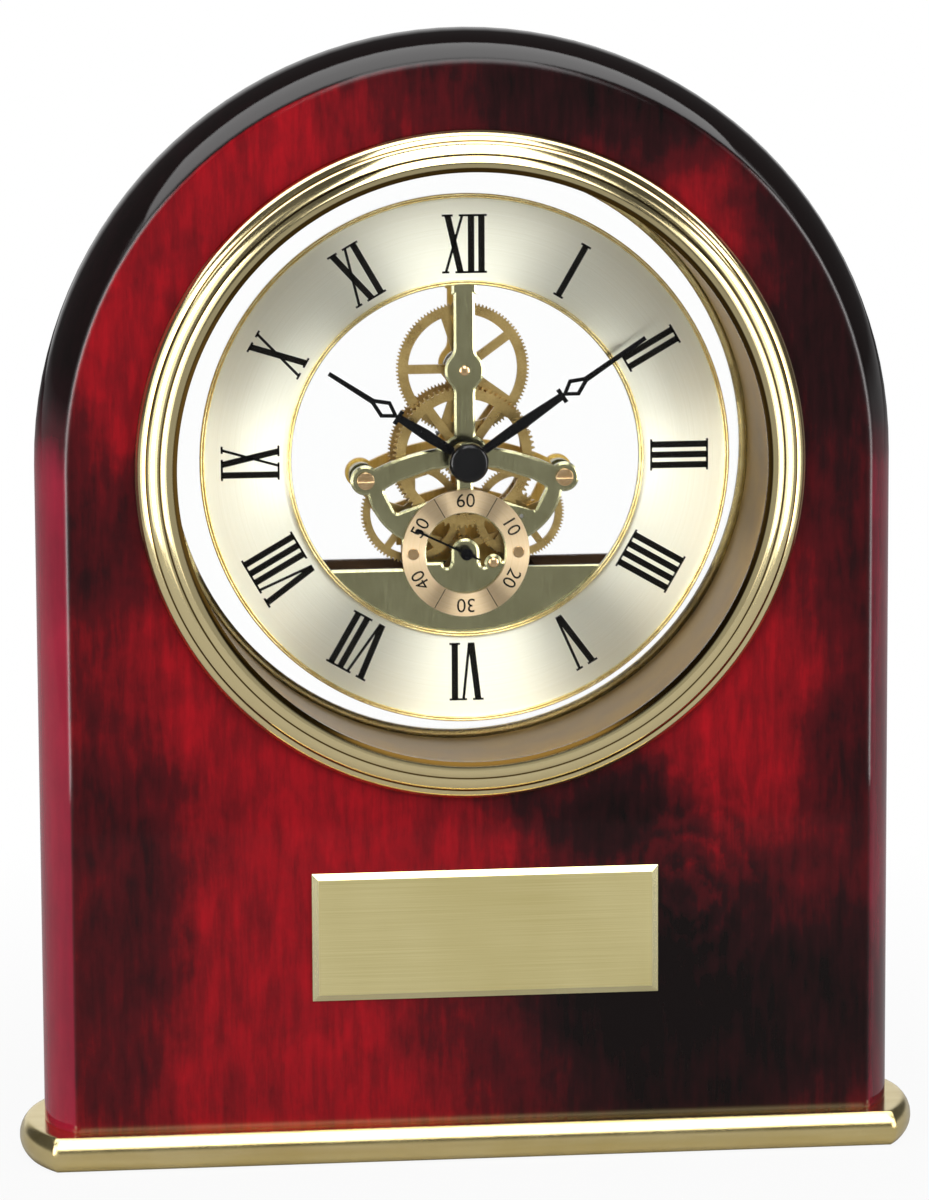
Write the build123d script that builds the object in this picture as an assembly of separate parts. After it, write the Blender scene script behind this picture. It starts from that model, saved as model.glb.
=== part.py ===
from build123d import *
from math import atan2, cos, degrees, hypot, radians, sin
import os

# Arched shelf clock: millimetres, +Z up, the front faces -Y, origin under the middle of the base.
# Front-view sketches are drawn about the dial axis: sketch x is X, sketch y is height over the axis.

os.makedirs("parts", exist_ok=True)

# Overrun of every cut past the face it leaves through
overrun = 1.0

# Case
case_half_width = 83.5
case_bulge = 5.8
case_depth = 28.0
case_crease_r = 1.2
axis_height = 145.7

# Base plate and its felt
base_top = 7.5
base_half_length = 87.6
base_half_depth = 18.2
base_end_bulge = 5.5
base_edge_bulge = 1.5
felt_proud = 0.3
felt_thick = 1.0
felt_margin = 6.0
felt_clearance = 0.2
base_screw_x = 52.0
base_screw_r = 2.0
base_screw_grip = 20.0
base_screw_head_r = 4.0
base_screw_head_h = 2.4
base_screw_clearance = 0.2

# Engraving plate
name_plate_width = 72.5
name_plate_height = 27.0
name_plate_thick = 1.0
name_plate_bevel = 1.3
name_plate_bevel_depth = 0.6
name_plate_x = 2.4
name_plate_drop = 98.1

# Seat of the rear pane in the bezel tube: the round insert is built out and in from it
pane_seat_r = 62.3
pane_shelf = 0.8
tube_skirt = 0.7
tube_inner_r = pane_seat_r - pane_shelf
tube_outer_r = pane_seat_r + tube_skirt

# Bezel: the lines between its ridges lie at shares of the way in to the lip and of the ridge height
bezel_flange = 6.4
bezel_edge_out = 1.0
ridge_height = 5.0
ridge_in_shares = (0.25, 0.58, 0.89)
ridge_out_shares = (0.60, 0.88, 1.00)
ridge_crown = 0.55
lip_overhang = 0.5
lip_out = 4.7
bore_clearance = 0.1

# Lens, rear pane and retaining ring
lens_thick = 1.6
lens_front_out = 4.0
lens_clearance = 0.05
pane_thick = 1.8
pane_clearance = 0.1
keeper_thick = 0.8
keeper_width = 2.2

# Dial
dial_front_depth = 11.4
dial_gap = 6.2
chapter_width = 19.0
chapter_thick = 0.8
trim_width = 1.0
trim_thick = 0.4

# Movement frame
plate_thick = 1.2
gear_room = 10.8
ear_x = 20.8
ear_z = -4.3
ear_r = 3.1
bar_width = 4.4
bar_lap = 5.7
pad_width = 5.2
pad_lap = 2.1
boss_r = 4.1
hub_r = 5.2
boss_blend_r = 3.0
window_corner_r = 0.8
arm_bow = 1.0
shield_crown = 2.5
shield_corner_x = 19.5
shield_corner_z = -2.3
arm_top_x = 20.4
arm_top_z = -7.0
arm_foot_x = 13.2
arm_foot_z = -16.8
# Corners of the right window as shares of the ear distance and of the drop to the arm foot
window_shares = ((0.08, 0.11), (0.32, 0.13), (0.68, 0.28), (0.82, 0.38), (0.70, 0.68), (0.43, 0.56),
                 (0.08, 0.44))
top_pillar_inset = 3.0
pillar_r = 2.7
pillar_neck_r = 1.4
top_pillar_r = 2.2
plate_screw_r = 0.8
plate_screw_grip = 3.0
plate_screw_head_r = 1.8
plate_screw_head_h = 0.9
slot_width = 0.4
slot_depth = 0.4
pane_screw_r = 1.0
pane_screw_grip = 3.0
pane_screw_head_r = 2.2
pane_screw_head_h = 0.7

# Seconds dial
seconds_z = -19.8
seconds_dial_outer_r = 13.35
seconds_dial_inner_r = 8.55
seconds_dial_thick = 0.8
rivet_r = 1.2
rivet_shank_r = 0.5
rivet_x = 11.0
rivet_head = 0.3
seconds_opening_r = 8.3
seconds_sill_z = -21.8
tongue_r = 2.9
notch_r = 0.75
notch_x = 3.9
notch_z = -22.2
hump_r = 1.9
hump_x = 5.9
hump_z = -22.2

# Half-moon housing, battery and cover
housing_top_z = -23.0
housing_inset = 3.3
housing_wall = 1.0
recess_left = 12.4
recess_right = 14.8
recess_floor_z = -32.0
housing_clearance = 0.2
cover_thick = 1.0
cover_clearance = 0.3
cover_ledge = 0.8
battery_r = 5.25
battery_length = 43.5
battery_tip_r = 1.9
battery_tip = 1.0
battery_z = -39.2
contact_thick = 0.5
contact_width = 6.0
contact_depth = 9.0

# Wheel train: tooth numbers
rotor_teeth = 7
inter_teeth = 84
inter_pinion_teeth = 24
seconds_teeth = 60
seconds_pinion_teeth = 20
third_teeth = 80
third_pinion_teeth = 8
centre_teeth = 120
cannon_teeth = 36
motion_teeth = 108
motion_pinion_teeth = 20
hour_teeth = 80

# Shaft places about the dial axis
motion_z = 18.3
third_x = -10.6
third_z = -12.0
inter_x = 11.8
inter_z = -12.4
rotor_x = 10.9
rotor_z = -22.6

# Tooth form, as shares of the module and of the tooth pitch
root_share = 1.15
tip_share = 0.75
root_width_share = 0.60
tip_width_share = 0.22

# Layers behind the front plate: gap to the first wheel, wheel thickness, pinion overhang, layer pitch
first_gap = 0.5
wheel_thick = 0.8
pinion_over = 0.3
layer_pitch = 1.85
layer_count = 5

# Wheel rims, hubs and spokes, and the angle of the first spoke
spoke_count = 5
rim_width = 1.5
train_hub_r = 2.2
spoke_width = 1.5
wide_rim = 2.0
wide_hub_r = 4.0
wide_spoke = 1.9
train_spoke_angle = 90
centre_spoke_angle = 54
motion_spoke_angle = 180

# Shafts and running fits
running_clearance = 0.05
end_play = 0.1
pivot_depth = 0.9
fine_pivot_r = 0.3
pivot_r = 0.4
rotor_arbor_r = 0.4
train_arbor_r = 0.6
motion_arbor_r = 0.8
centre_arbor_r = 1.1
pipe_wall = 0.7
bush_wall = 0.7
bush_flange = 0.7
bush_flange_thick = 0.6
collar_r = 2.2
collar_thick = 0.6
motion_flange_r = 4.0
motion_flange_thick = 1.2
spring_r = 3.4
spring_thick = 0.3
pane_hole_r = 2.4
magnet_r = 1.9
magnet_length = 2.0
stator_ring = 0.9
stator_gap = 0.4
stator_thick = 1.0
stator_arm = 2.4
stator_post_r = 0.9
coil_r = 1.5
coil_left = -9.0
coil_right = 2.0
coil_z = -28.6
core_width = 1.2
board_width = 9.0
board_height = 4.0
board_thick = 0.8
board_x = -6.5
board_z = -25.2

# Hands
hour_hand_out = 2.5
hand_gap = 0.7
hand_thick = 0.5
hour_hand_angle = 303.2
minute_hand_angle = 55.9
seconds_hand_angle = 295.5
hour_boss_r = 3.0
minute_boss_r = 2.6
cap_r = 4.15
cap_height = 3.0
cap_edge_r = 1.0
cap_dish_r = 2.7
cap_dish_depth = 0.5
arbor_into_cap = 1.4
hour_bar_r = 17.0
hour_kite_end_r = 24.7
hour_tip_r = 34.2
minute_bar_r = 23.8
minute_kite_end_r = 31.0
minute_tip_r = 44.8
blade_root_width = 1.5
blade_mid_width = 2.3
blade_mid_share = 0.6
bar_length = 3.2
bar_thick = 0.9
kite_width = 4.0
kite_wide_share = 0.42
kite_open_share = 0.56
tip_root_width = 1.2
tip_end_width = 0.9
seconds_tip_r = 11.2
seconds_tail_r = 3.2
seconds_hand_width = 0.45
seconds_dot_r = 0.6
seconds_boss_r = 1.3
seconds_boss_height = 1.3
seconds_hand_thick = 0.35
seconds_hand_gap = 0.4

# Setting knob
knob_r = 5.0
knob_length = 3.6
knob_gap = 0.6
knob_groove_r = 0.45
knob_groove_count = 24

# Places worked out from the sizes above
case_front = -case_depth / 2
case_back = case_depth / 2
lip_r = tube_inner_r - lip_overhang
bezel_r = tube_outer_r + bezel_flange
pane_r = pane_seat_r - pane_clearance
keeper_inner_r = pane_r - keeper_width
chapter_outer_r = tube_inner_r - dial_gap
chapter_inner_r = chapter_outer_r - chapter_width
housing_r = chapter_outer_r - housing_inset
bar_top = chapter_inner_r + bar_lap
pad_bottom = chapter_inner_r - pad_lap
top_pillar_z = bar_top - top_pillar_inset
chapter_front = case_front + dial_front_depth
plate_front = chapter_front + chapter_thick
plate_inner = plate_front + plate_thick
back_inner = plate_inner + gear_room
pane_front = back_inner + plate_thick
pane_back = pane_front + pane_thick
keeper_back = pane_back + keeper_thick
lens_front = case_front - lens_front_out
layers = [plate_inner + first_gap + k * layer_pitch for k in range(layer_count)]
centre_at = (0, 0)
motion_at = (0, motion_z)
seconds_at = (0, seconds_z)
third_at = (third_x, third_z)
inter_at = (inter_x, inter_z)
rotor_at = (rotor_x, rotor_z)
pipe_inner = centre_arbor_r + running_clearance
pipe_outer = pipe_inner + pipe_wall
bush_inner = pipe_outer + running_clearance
bush_outer = bush_inner + bush_wall


def slab(sketch, y_front, y_back):
    """A flat piece between two depths, from a front-view sketch about the dial axis."""
    flat = Pos(0, y_back, axis_height) * (Plane.XZ * sketch)
    return extrude(flat, amount=y_back - y_front)


def rod(at, r, y_front, y_back):
    """A round piece along the depth at a place about the dial axis."""
    return slab(Pos(*at) * Circle(r), y_front, y_back)


def bearing(at, to):
    """Direction from one shaft to another, in degrees from +X towards +Z."""
    return degrees(atan2(to[1] - at[1], to[0] - at[0]))


def spacing(at, to):
    return hypot(to[0] - at[0], to[1] - at[1])


def module_of(at, to, teeth_a, teeth_b):
    """Module that brings two wheels into mesh at their shafts' spacing."""
    return 2 * spacing(at, to) / (teeth_a + teeth_b)


def gear_outline(teeth, module, aim):
    """Straight-flanked tooth outline with one tooth centred on the aim angle."""
    pitch_r = teeth * module / 2
    root_r = pitch_r - root_share * module
    tip_r = pitch_r + tip_share * module
    step = 360 / teeth
    corners = ((root_r, -root_width_share), (tip_r, -tip_width_share),
               (tip_r, tip_width_share), (root_r, root_width_share))
    points = []
    for k in range(teeth):
        for r, share in corners:
            a = radians(aim + (k + share / 2) * step)
            points.append((r * cos(a), r * sin(a)))
    return make_face(Polyline(*points, close=True))


def gear(at, teeth, module, aim, hole_r, y_front, y_back):
    """A plain pinion on a shaft."""
    return slab(Pos(*at) * (gear_outline(teeth, module, aim) - Circle(hole_r)), y_front, y_back)


def spoked_wheel(at, teeth, module, aim, hole_r, rim, hub, spoke, first, y_front, y_back):
    """A wheel with spokes between hub and rim, the first spoke at the given angle."""
    open_r = teeth * module / 2 - root_share * module - rim
    windows = Circle(open_r) - Circle(hub)
    for k in range(spoke_count):
        turn = first + k * 360 / spoke_count
        windows -= Rot(0, 0, turn) * Pos(open_r / 2, 0) * Rectangle(open_r + overrun, spoke)
    outline = gear_outline(teeth, module, aim) - windows - Circle(hole_r)
    return slab(Pos(*at) * outline, y_front, y_back)


def arbor(at, r, pivot, y_front, y_back):
    """A shaft between the plates with a pivot at each end."""
    shaft = rod(at, r, y_front, y_back)
    return shaft + rod(at, pivot, y_front - pivot_depth, y_front) + rod(at, pivot, y_back, y_back + pivot_depth)


def slotted_head(at, r, y_front, y_back, slot_at):
    """A screw head with a straight slot in its free face."""
    head = rod(at, r, y_front, y_back)
    if slot_at < y_back:
        cut = slab(Pos(*at) * Rectangle(2 * r + overrun, slot_width), slot_at - overrun, slot_at + slot_depth)
    else:
        cut = slab(Pos(*at) * Rectangle(2 * r + overrun, slot_width), slot_at - slot_depth, slot_at + overrun)
    return head - cut


def save(shape, node):
    export_step(shape, "parts/" + node + ".step")


# Case body: a pillow-sided section, straight below the axis and turned about it above
def case_section():
    """Right half of the horizontal section, x from the middle to the bulged side."""
    side = ThreePointArc((case_half_width, case_front), (case_half_width + case_bulge, 0),
                         (case_half_width, case_back))
    rest = Polyline((case_half_width, case_back), (0, case_back), (0, case_front),
                    (case_half_width, case_front))
    face = make_face([side, rest])
    corners = [v for v in face.vertices() if v.X > case_half_width / 2]
    return fillet(corners, case_crease_r)


half_section = case_section()
lower_half = Pos(0, 0, base_top) * extrude(half_section, amount=axis_height - base_top)
arch = Pos(0, 0, axis_height) * revolve(half_section, axis=Axis.Y, revolution_arc=-180)
case_body = lower_half + mirror(lower_half, about=Plane.YZ) + arch
case_body -= rod(centre_at, tube_outer_r + bore_clearance, case_front - overrun, case_back + overrun)
for side in (-1, 1):
    case_body -= Pos(side * base_screw_x, 0, base_top) * Cylinder(
        base_screw_r, base_screw_grip, align=(Align.CENTER, Align.CENTER, Align.MIN))
save(case_body, "case_body")

# Base plate: a slab with a bulged edge, cut off at each end by a disc with the same edge
base_bottom = felt_proud
base_mid = (base_bottom + base_top) / 2
end_r = (base_half_depth ** 2 + base_end_bulge ** 2) / (2 * base_end_bulge)
end_centre = base_half_length + base_end_bulge - end_r
front_edge = ThreePointArc((-base_half_depth, base_bottom), (-base_half_depth - base_edge_bulge, base_mid),
                           (-base_half_depth, base_top))
back_edge = ThreePointArc((base_half_depth, base_top), (base_half_depth + base_edge_bulge, base_mid),
                          (base_half_depth, base_bottom))
cross = make_face([front_edge, Line((-base_half_depth, base_top), (base_half_depth, base_top)), back_edge,
                   Line((base_half_depth, base_bottom), (-base_half_depth, base_bottom))])
bar_half = base_half_length + base_end_bulge + base_edge_bulge + overrun
long_bar = extrude(Pos(-bar_half, 0, 0) * (Plane.YZ * cross), amount=2 * bar_half)
disc_edge = ThreePointArc((end_r, base_bottom), (end_r + base_edge_bulge, base_mid), (end_r, base_top))
disc_rest = Polyline((end_r, base_top), (0, base_top), (0, base_bottom), (end_r, base_bottom))
end_disc = revolve(Plane.XZ * make_face([disc_edge, disc_rest]), axis=Axis.Z)
keep = Pos(end_centre, 0, 0) * end_disc + Pos(-end_centre, 0, 0) * end_disc
keep += Pos(0, 0, base_mid) * Box(2 * end_centre, 2 * end_r, base_top - base_bottom)
base_plate = long_bar & keep
felt_half_x = base_half_length - felt_margin
felt_half_y = base_half_depth - felt_margin
low = (Align.CENTER, Align.CENTER, Align.MIN)
base_plate -= Box(2 * felt_half_x, 2 * felt_half_y, felt_thick, align=low)
base_felt = Box(2 * (felt_half_x - felt_clearance), 2 * (felt_half_y - felt_clearance), felt_thick, align=low)
head_seat = felt_thick + base_screw_head_h
base_screws = None
for side in (-1, 1):
    seat = Pos(side * base_screw_x, 0, felt_thick)
    base_plate -= seat * Cylinder(base_screw_head_r + base_screw_clearance, base_screw_head_h, align=low)
    base_plate -= seat * Cylinder(base_screw_r + base_screw_clearance, base_top, align=low)
    screw = seat * Cylinder(base_screw_head_r, base_screw_head_h, align=low)
    screw += Pos(side * base_screw_x, 0, head_seat) * Cylinder(
        base_screw_r, base_top - head_seat + base_screw_grip, align=low)
    base_screws = screw if base_screws is None else base_screws + screw
save(base_plate, "base_plate")
save(base_felt, "base_felt")
save(base_screws, "base_screws")

# Engraving plate with bevelled edges
plate_at = Pos(name_plate_x, -name_plate_drop)
plate_back_face = Rectangle(name_plate_width, name_plate_height)
plate_top_face = Rectangle(name_plate_width - 2 * name_plate_bevel, name_plate_height - 2 * name_plate_bevel)
edge_front = case_front - name_plate_thick + name_plate_bevel_depth
engraving_plate = slab(plate_at * plate_back_face, edge_front, case_front)
bevel_back = Pos(0, edge_front, axis_height) * (Plane.XZ * (plate_at * plate_back_face))
bevel_top = Pos(0, case_front - name_plate_thick, axis_height) * (Plane.XZ * (plate_at * plate_top_face))
engraving_plate += loft([bevel_back.face(), bevel_top.face()])
save(engraving_plate, "engraving_plate")


# Bezel: three crowned ridges stepping up to the lip, and the tube through the case
def ridge(a, b):
    """Crowned line between two (radius, depth) points, standing out to the front and outside."""
    span = hypot(b[0] - a[0], b[1] - a[1])
    out = ((b[1] - a[1]) / span, -(b[0] - a[0]) / span)
    if out[1] > 0:
        out = (-out[0], -out[1])
    mid = ((a[0] + b[0]) / 2 + out[0] * ridge_crown, (a[1] + b[1]) / 2 + out[1] * ridge_crown)
    return ThreePointArc(a, mid, b)


ridge_line = [(bezel_r, case_front - bezel_edge_out)]
for in_share, out_share in zip(ridge_in_shares, ridge_out_shares):
    ridge_line.append((bezel_r - (bezel_r - lip_r) * in_share, case_front - ridge_height * out_share))
bezel_edges = [ridge(a, b) for a, b in zip(ridge_line, ridge_line[1:])]
bezel_edges.append(Polyline(
    ridge_line[-1], (lip_r, case_front - lip_out), (lip_r, lens_front), (tube_inner_r, lens_front),
    (tube_inner_r, pane_front), (pane_seat_r, pane_front), (pane_seat_r, case_back),
    (tube_outer_r, case_back), (tube_outer_r, case_front), (bezel_r, case_front), ridge_line[0]))
bezel_ring = Pos(0, 0, axis_height) * revolve(make_face(bezel_edges), axis=Axis.Y)
save(bezel_ring, "bezel_ring")

# Lens, rear pane and the ring that keeps the pane in
save(rod(centre_at, tube_inner_r - lens_clearance, lens_front, lens_front + lens_thick), "front_lens")


def segment(r, top_z):
    """The part of a disc below a level line."""
    return Circle(r) & Pos(0, top_z - r) * Rectangle(2 * r, 2 * r)


def housing_outline(grow):
    """Half-moon outline with the recess behind the seconds dial, grown outwards by a wall or a gap."""
    outline = segment(housing_r + grow, housing_top_z + grow)
    left = -recess_left + grow
    right = recess_right - grow
    floor_z = recess_floor_z + grow
    recess = Pos((left + right) / 2, floor_z) * Rectangle(
        right - left, housing_r, align=(Align.CENTER, Align.MIN))
    return outline - recess


pane_holes = [(-ear_x, ear_z), (ear_x, ear_z), (0, top_pillar_z)]
rear_pane = rod(centre_at, pane_r, pane_front, pane_back)
rear_pane -= slab(housing_outline(housing_clearance), pane_front - overrun, pane_back + overrun)
rear_pane -= rod(centre_at, pane_hole_r, pane_front - overrun, pane_back + overrun)
for at in pane_holes:
    rear_pane -= rod(at, pane_screw_r + running_clearance, pane_front - overrun, pane_back + overrun)
save(rear_pane, "rear_pane")
keeper = Circle(pane_r) - Circle(keeper_inner_r)
save(slab(keeper, pane_back, keeper_back), "rear_retaining_ring")

# Dial
save(slab(Circle(chapter_outer_r) - Circle(chapter_inner_r), chapter_front, plate_front), "chapter_ring")
trim_front = chapter_front - trim_thick
outer_trim = Circle(chapter_outer_r) - Circle(chapter_outer_r - trim_width)
inner_trim = Circle(chapter_inner_r + trim_width) - Circle(chapter_inner_r)
save(slab(outer_trim, trim_front, chapter_front), "outer_trim_ring")
save(slab(inner_trim, trim_front, chapter_front), "inner_trim_ring")


# Plates
def shield():
    """Crowned shield with ears, upright bar, boss and windows, shared by both plates."""
    crown = ThreePointArc((-shield_corner_x, shield_corner_z), (0, shield_crown),
                          (shield_corner_x, shield_corner_z))
    bow_x = (arm_top_x + arm_foot_x) / 2 + arm_bow
    bow_z = (arm_top_z + arm_foot_z) / 2 - arm_bow
    right_arm = ThreePointArc((arm_top_x, arm_top_z), (bow_x, bow_z), (arm_foot_x, arm_foot_z))
    left_arm = ThreePointArc((-arm_foot_x, arm_foot_z), (-bow_x, bow_z), (-arm_top_x, arm_top_z))
    right_top = Line((shield_corner_x, shield_corner_z), (arm_top_x, arm_top_z))
    left_top = Line((-arm_top_x, arm_top_z), (-shield_corner_x, shield_corner_z))
    foot = Polyline((arm_foot_x, arm_foot_z), (arm_foot_x, seconds_z), (-arm_foot_x, seconds_z),
                    (-arm_foot_x, arm_foot_z))
    plate = make_face([crown, right_top, right_arm, foot, left_arm, left_top])
    for side in (-1, 1):
        plate += Pos(side * ear_x, ear_z) * Circle(ear_r)
    plate += Circle(hub_r)
    plate += Rectangle(bar_width, bar_top, align=(Align.CENTER, Align.MIN))
    plate += Pos(0, pad_bottom) * Rectangle(pad_width, bar_top - pad_bottom, align=(Align.CENTER, Align.MIN))
    plate += Pos(*motion_at) * Circle(boss_r)
    blend = [v for v in plate.vertices() if abs(v.X) < boss_r and abs(v.Y - motion_z) < boss_r]
    plate = fillet(blend, boss_blend_r)
    corners = [(ear_x * across, arm_foot_z * down) for across, down in window_shares]
    window = make_face(Polyline(*corners, close=True))
    window = fillet(window.vertices(), window_corner_r)
    return plate - window - mirror(window, about=Plane.YZ)


seconds_place = Pos(*seconds_at)
below = (Align.CENTER, Align.MAX)
sill = Pos(0, seconds_sill_z) * Rectangle(2 * seconds_opening_r, seconds_opening_r, align=below)
tongue = seconds_place * (Circle(tongue_r) + Rectangle(2 * tongue_r, seconds_opening_r, align=below))
hump = Pos(hump_x, hump_z) * Circle(hump_r)
opening = seconds_place * Circle(seconds_opening_r) - sill
for side in (-1, 1):
    opening += Pos(side * notch_x, notch_z) * Circle(notch_r)
opening -= hump
opening -= tongue
front_face = shield() + seconds_place * Circle(seconds_dial_outer_r - trim_width)
front_face += segment(housing_r, housing_top_z)
front_face -= opening
back_tab = Pos((recess_right - recess_left) / 2, recess_floor_z) * Rectangle(
    recess_left + recess_right - 2 * housing_clearance, arm_foot_z - recess_floor_z,
    align=(Align.CENTER, Align.MIN))
back_face = shield() + back_tab

plate_pivots = [(third_at, pivot_r), (inter_at, pivot_r), (rotor_at, fine_pivot_r), (motion_at, pivot_r)]
front_plate = slab(front_face, plate_front, plate_inner)
back_plate = slab(back_face, back_inner, pane_front)
for at, r in plate_pivots:
    front_plate -= rod(at, r + running_clearance, plate_front - overrun, plate_inner + overrun)
    back_plate -= rod(at, r + running_clearance, back_inner - overrun, pane_front + overrun)
front_plate -= rod(seconds_at, train_arbor_r + running_clearance, plate_front - overrun, plate_inner + overrun)
back_plate -= rod(seconds_at, pivot_r + running_clearance, back_inner - overrun, pane_front + overrun)
front_plate -= rod(centre_at, bush_outer + running_clearance, plate_front - overrun, plate_inner + overrun)
back_plate -= rod(centre_at, centre_arbor_r + running_clearance, back_inner - overrun, pane_front + overrun)
ears = [(-ear_x, ear_z), (ear_x, ear_z)]
rivets = [(seconds_at[0] - rivet_x, seconds_z), (seconds_at[0] + rivet_x, seconds_z)]
for at in ears:
    front_plate -= rod(at, plate_screw_r, plate_front - overrun, plate_inner + overrun)
for at in rivets:
    front_plate -= rod(at, rivet_shank_r, plate_front - overrun, plate_inner + overrun)
for at in pane_holes:
    back_plate -= rod(at, pane_screw_r, back_inner - overrun, pane_front + overrun)
save(front_plate, "front_plate")
save(back_plate, "back_plate")

# Pillars, thin where they pass the wheels, and the screws at their two ends
plate_pillars = None
plate_screws = None
for at in ears:
    pillar = rod(at, pillar_neck_r, plate_inner, layers[3]) + rod(at, pillar_r, layers[3], back_inner)
    pillar -= rod(at, plate_screw_r, plate_inner - overrun, plate_inner + plate_screw_grip)
    pillar -= rod(at, pane_screw_r, back_inner - pane_screw_grip, back_inner + overrun)
    plate_pillars = pillar if plate_pillars is None else plate_pillars + pillar
    screw = slotted_head(at, plate_screw_head_r, plate_front - plate_screw_head_h, plate_front,
                         plate_front - plate_screw_head_h)
    screw += rod(at, plate_screw_r, plate_front, plate_inner + plate_screw_grip)
    plate_screws = screw if plate_screws is None else plate_screws + screw
top_at = (0, top_pillar_z)
plate_pillars += rod(top_at, top_pillar_r, plate_inner, back_inner) - rod(
    top_at, pane_screw_r, back_inner - pane_screw_grip, back_inner + overrun)
save(plate_pillars, "plate_pillars")
save(plate_screws, "plate_screws")
pane_screws = None
for at in pane_holes:
    screw = slotted_head(at, pane_screw_head_r, pane_back, pane_back + pane_screw_head_h,
                         pane_back + pane_screw_head_h)
    screw += rod(at, pane_screw_r, back_inner - pane_screw_grip, pane_back)
    pane_screws = screw if pane_screws is None else pane_screws + screw
save(pane_screws, "pane_screws")

# Seconds dial and its rivets
dial_ring = Circle(seconds_dial_outer_r) - Circle(seconds_dial_inner_r)
seconds_dial = slab(seconds_place * dial_ring, plate_front - seconds_dial_thick, plate_front)
seconds_dial_rivets = None
for at in rivets:
    seconds_dial -= rod(at, rivet_shank_r, plate_front - seconds_dial_thick - overrun, plate_front + overrun)
    rivet = rod(at, rivet_r, plate_front - seconds_dial_thick - rivet_head, plate_front - seconds_dial_thick)
    rivet += rod(at, rivet_shank_r, plate_front - seconds_dial_thick, plate_inner)
    seconds_dial_rivets = rivet if seconds_dial_rivets is None else seconds_dial_rivets + rivet
save(seconds_dial, "seconds_dial")
save(seconds_dial_rivets, "seconds_dial_rivets")

# Half-moon housing with a battery bay open to the back, closed by the cover on its ledge
cover_front = pane_back - cover_thick
movement_housing = slab(housing_outline(0), plate_inner, pane_back)
bay_front = plate_inner + housing_wall
movement_housing -= slab(housing_outline(-housing_wall - cover_ledge), bay_front, cover_front)
movement_housing -= slab(housing_outline(-housing_wall), cover_front, pane_back + overrun)
save(movement_housing, "movement_housing")
battery_cover = slab(housing_outline(-housing_wall - cover_clearance), cover_front, pane_back)
save(battery_cover, "battery_cover")
battery_y = bay_front + battery_r
battery_turn = Pos(0, battery_y, axis_height + battery_z) * Rot(0, 90, 0)
battery = battery_turn * Cylinder(battery_r, battery_length)
battery += battery_turn * Pos(0, 0, battery_length / 2) * Cylinder(battery_tip_r, battery_tip, align=low)
save(battery, "battery")
plus_end = battery_length / 2 + battery_tip + contact_thick / 2
minus_end = -battery_length / 2 - contact_thick / 2
battery_contacts = None
for end_x in (minus_end, plus_end):
    strip_face = Pos(end_x, battery_z) * Rectangle(contact_thick, contact_width)
    strip = slab(strip_face, bay_front, bay_front + contact_depth)
    battery_contacts = strip if battery_contacts is None else battery_contacts + strip
save(battery_contacts, "battery_contacts")

# Motor: coil on the core, stator ring round the rotor, posts to the back plate, and the board
magnet_front = layers[4] - pinion_over
magnet_back = magnet_front + magnet_length
stator_front = (magnet_front + magnet_back - stator_thick) / 2
stator_back = stator_front + stator_thick
ring_inner = magnet_r + stator_gap
ring_outer = ring_inner + stator_ring
core_mid = ((coil_left + coil_right) / 2, coil_z)
stator_face = Pos(*rotor_at) * Circle(ring_outer)
stator_face += Pos(*core_mid) * Rectangle(coil_right - coil_left + 2 * stator_arm, core_width)
right_arm_x = coil_right + stator_arm / 2
left_arm_x = coil_left - stator_arm / 2
stator_face += make_face(Polyline(
    (coil_right, coil_z - core_width / 2), (right_arm_x + stator_arm, coil_z - core_width / 2),
    (rotor_at[0] + stator_arm / 2, rotor_at[1] - magnet_r), (rotor_at[0] - magnet_r, rotor_at[1]),
    (coil_right, coil_z + core_width / 2), close=True))
stator_face -= Pos(*rotor_at) * Circle(ring_inner)
save(slab(stator_face, stator_front, stator_back), "stator")
stator_posts = rod((left_arm_x, coil_z), stator_post_r, stator_back, back_inner)
stator_posts += rod((right_arm_x, coil_z), stator_post_r, stator_back, back_inner)
save(stator_posts, "stator_posts")
coil_y = (stator_front + stator_back) / 2
coil_turn = Pos(core_mid[0], coil_y, axis_height + coil_z) * Rot(0, 90, 0)
coil = coil_turn * Cylinder(coil_r, coil_right - coil_left)
coil -= Pos(core_mid[0], coil_y, axis_height + coil_z) * Box(
    coil_right - coil_left + overrun, stator_thick, core_width)
save(coil, "motor_coil")
board = Pos(board_x, board_z) * Rectangle(board_width, board_height)
save(slab(board, back_inner - board_thick, back_inner), "circuit_board")


# Going train
def mesh(at, to, teeth_a, teeth_b):
    """Module, aim of the first wheel's tooth and aim of the second wheel's tooth for a meshing pair."""
    to_b = bearing(at, to)
    return module_of(at, to, teeth_a, teeth_b), to_b, to_b + 180 + 180 / teeth_b


shaft_front = plate_inner + end_play
shaft_back = back_inner - end_play

rotor_m, rotor_aim, inter_aim = mesh(rotor_at, inter_at, rotor_teeth, inter_teeth)
pinion_span = (layers[2] - pinion_over, layers[2] + wheel_thick + pinion_over)
save(arbor(rotor_at, rotor_arbor_r, fine_pivot_r, shaft_front, shaft_back), "rotor_arbor")
save(gear(rotor_at, rotor_teeth, rotor_m, rotor_aim, rotor_arbor_r, *pinion_span), "rotor_pinion")
magnet = Pos(*rotor_at) * (Circle(magnet_r) - Circle(rotor_arbor_r))
save(slab(magnet, magnet_front, magnet_back), "rotor_magnet")

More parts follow.
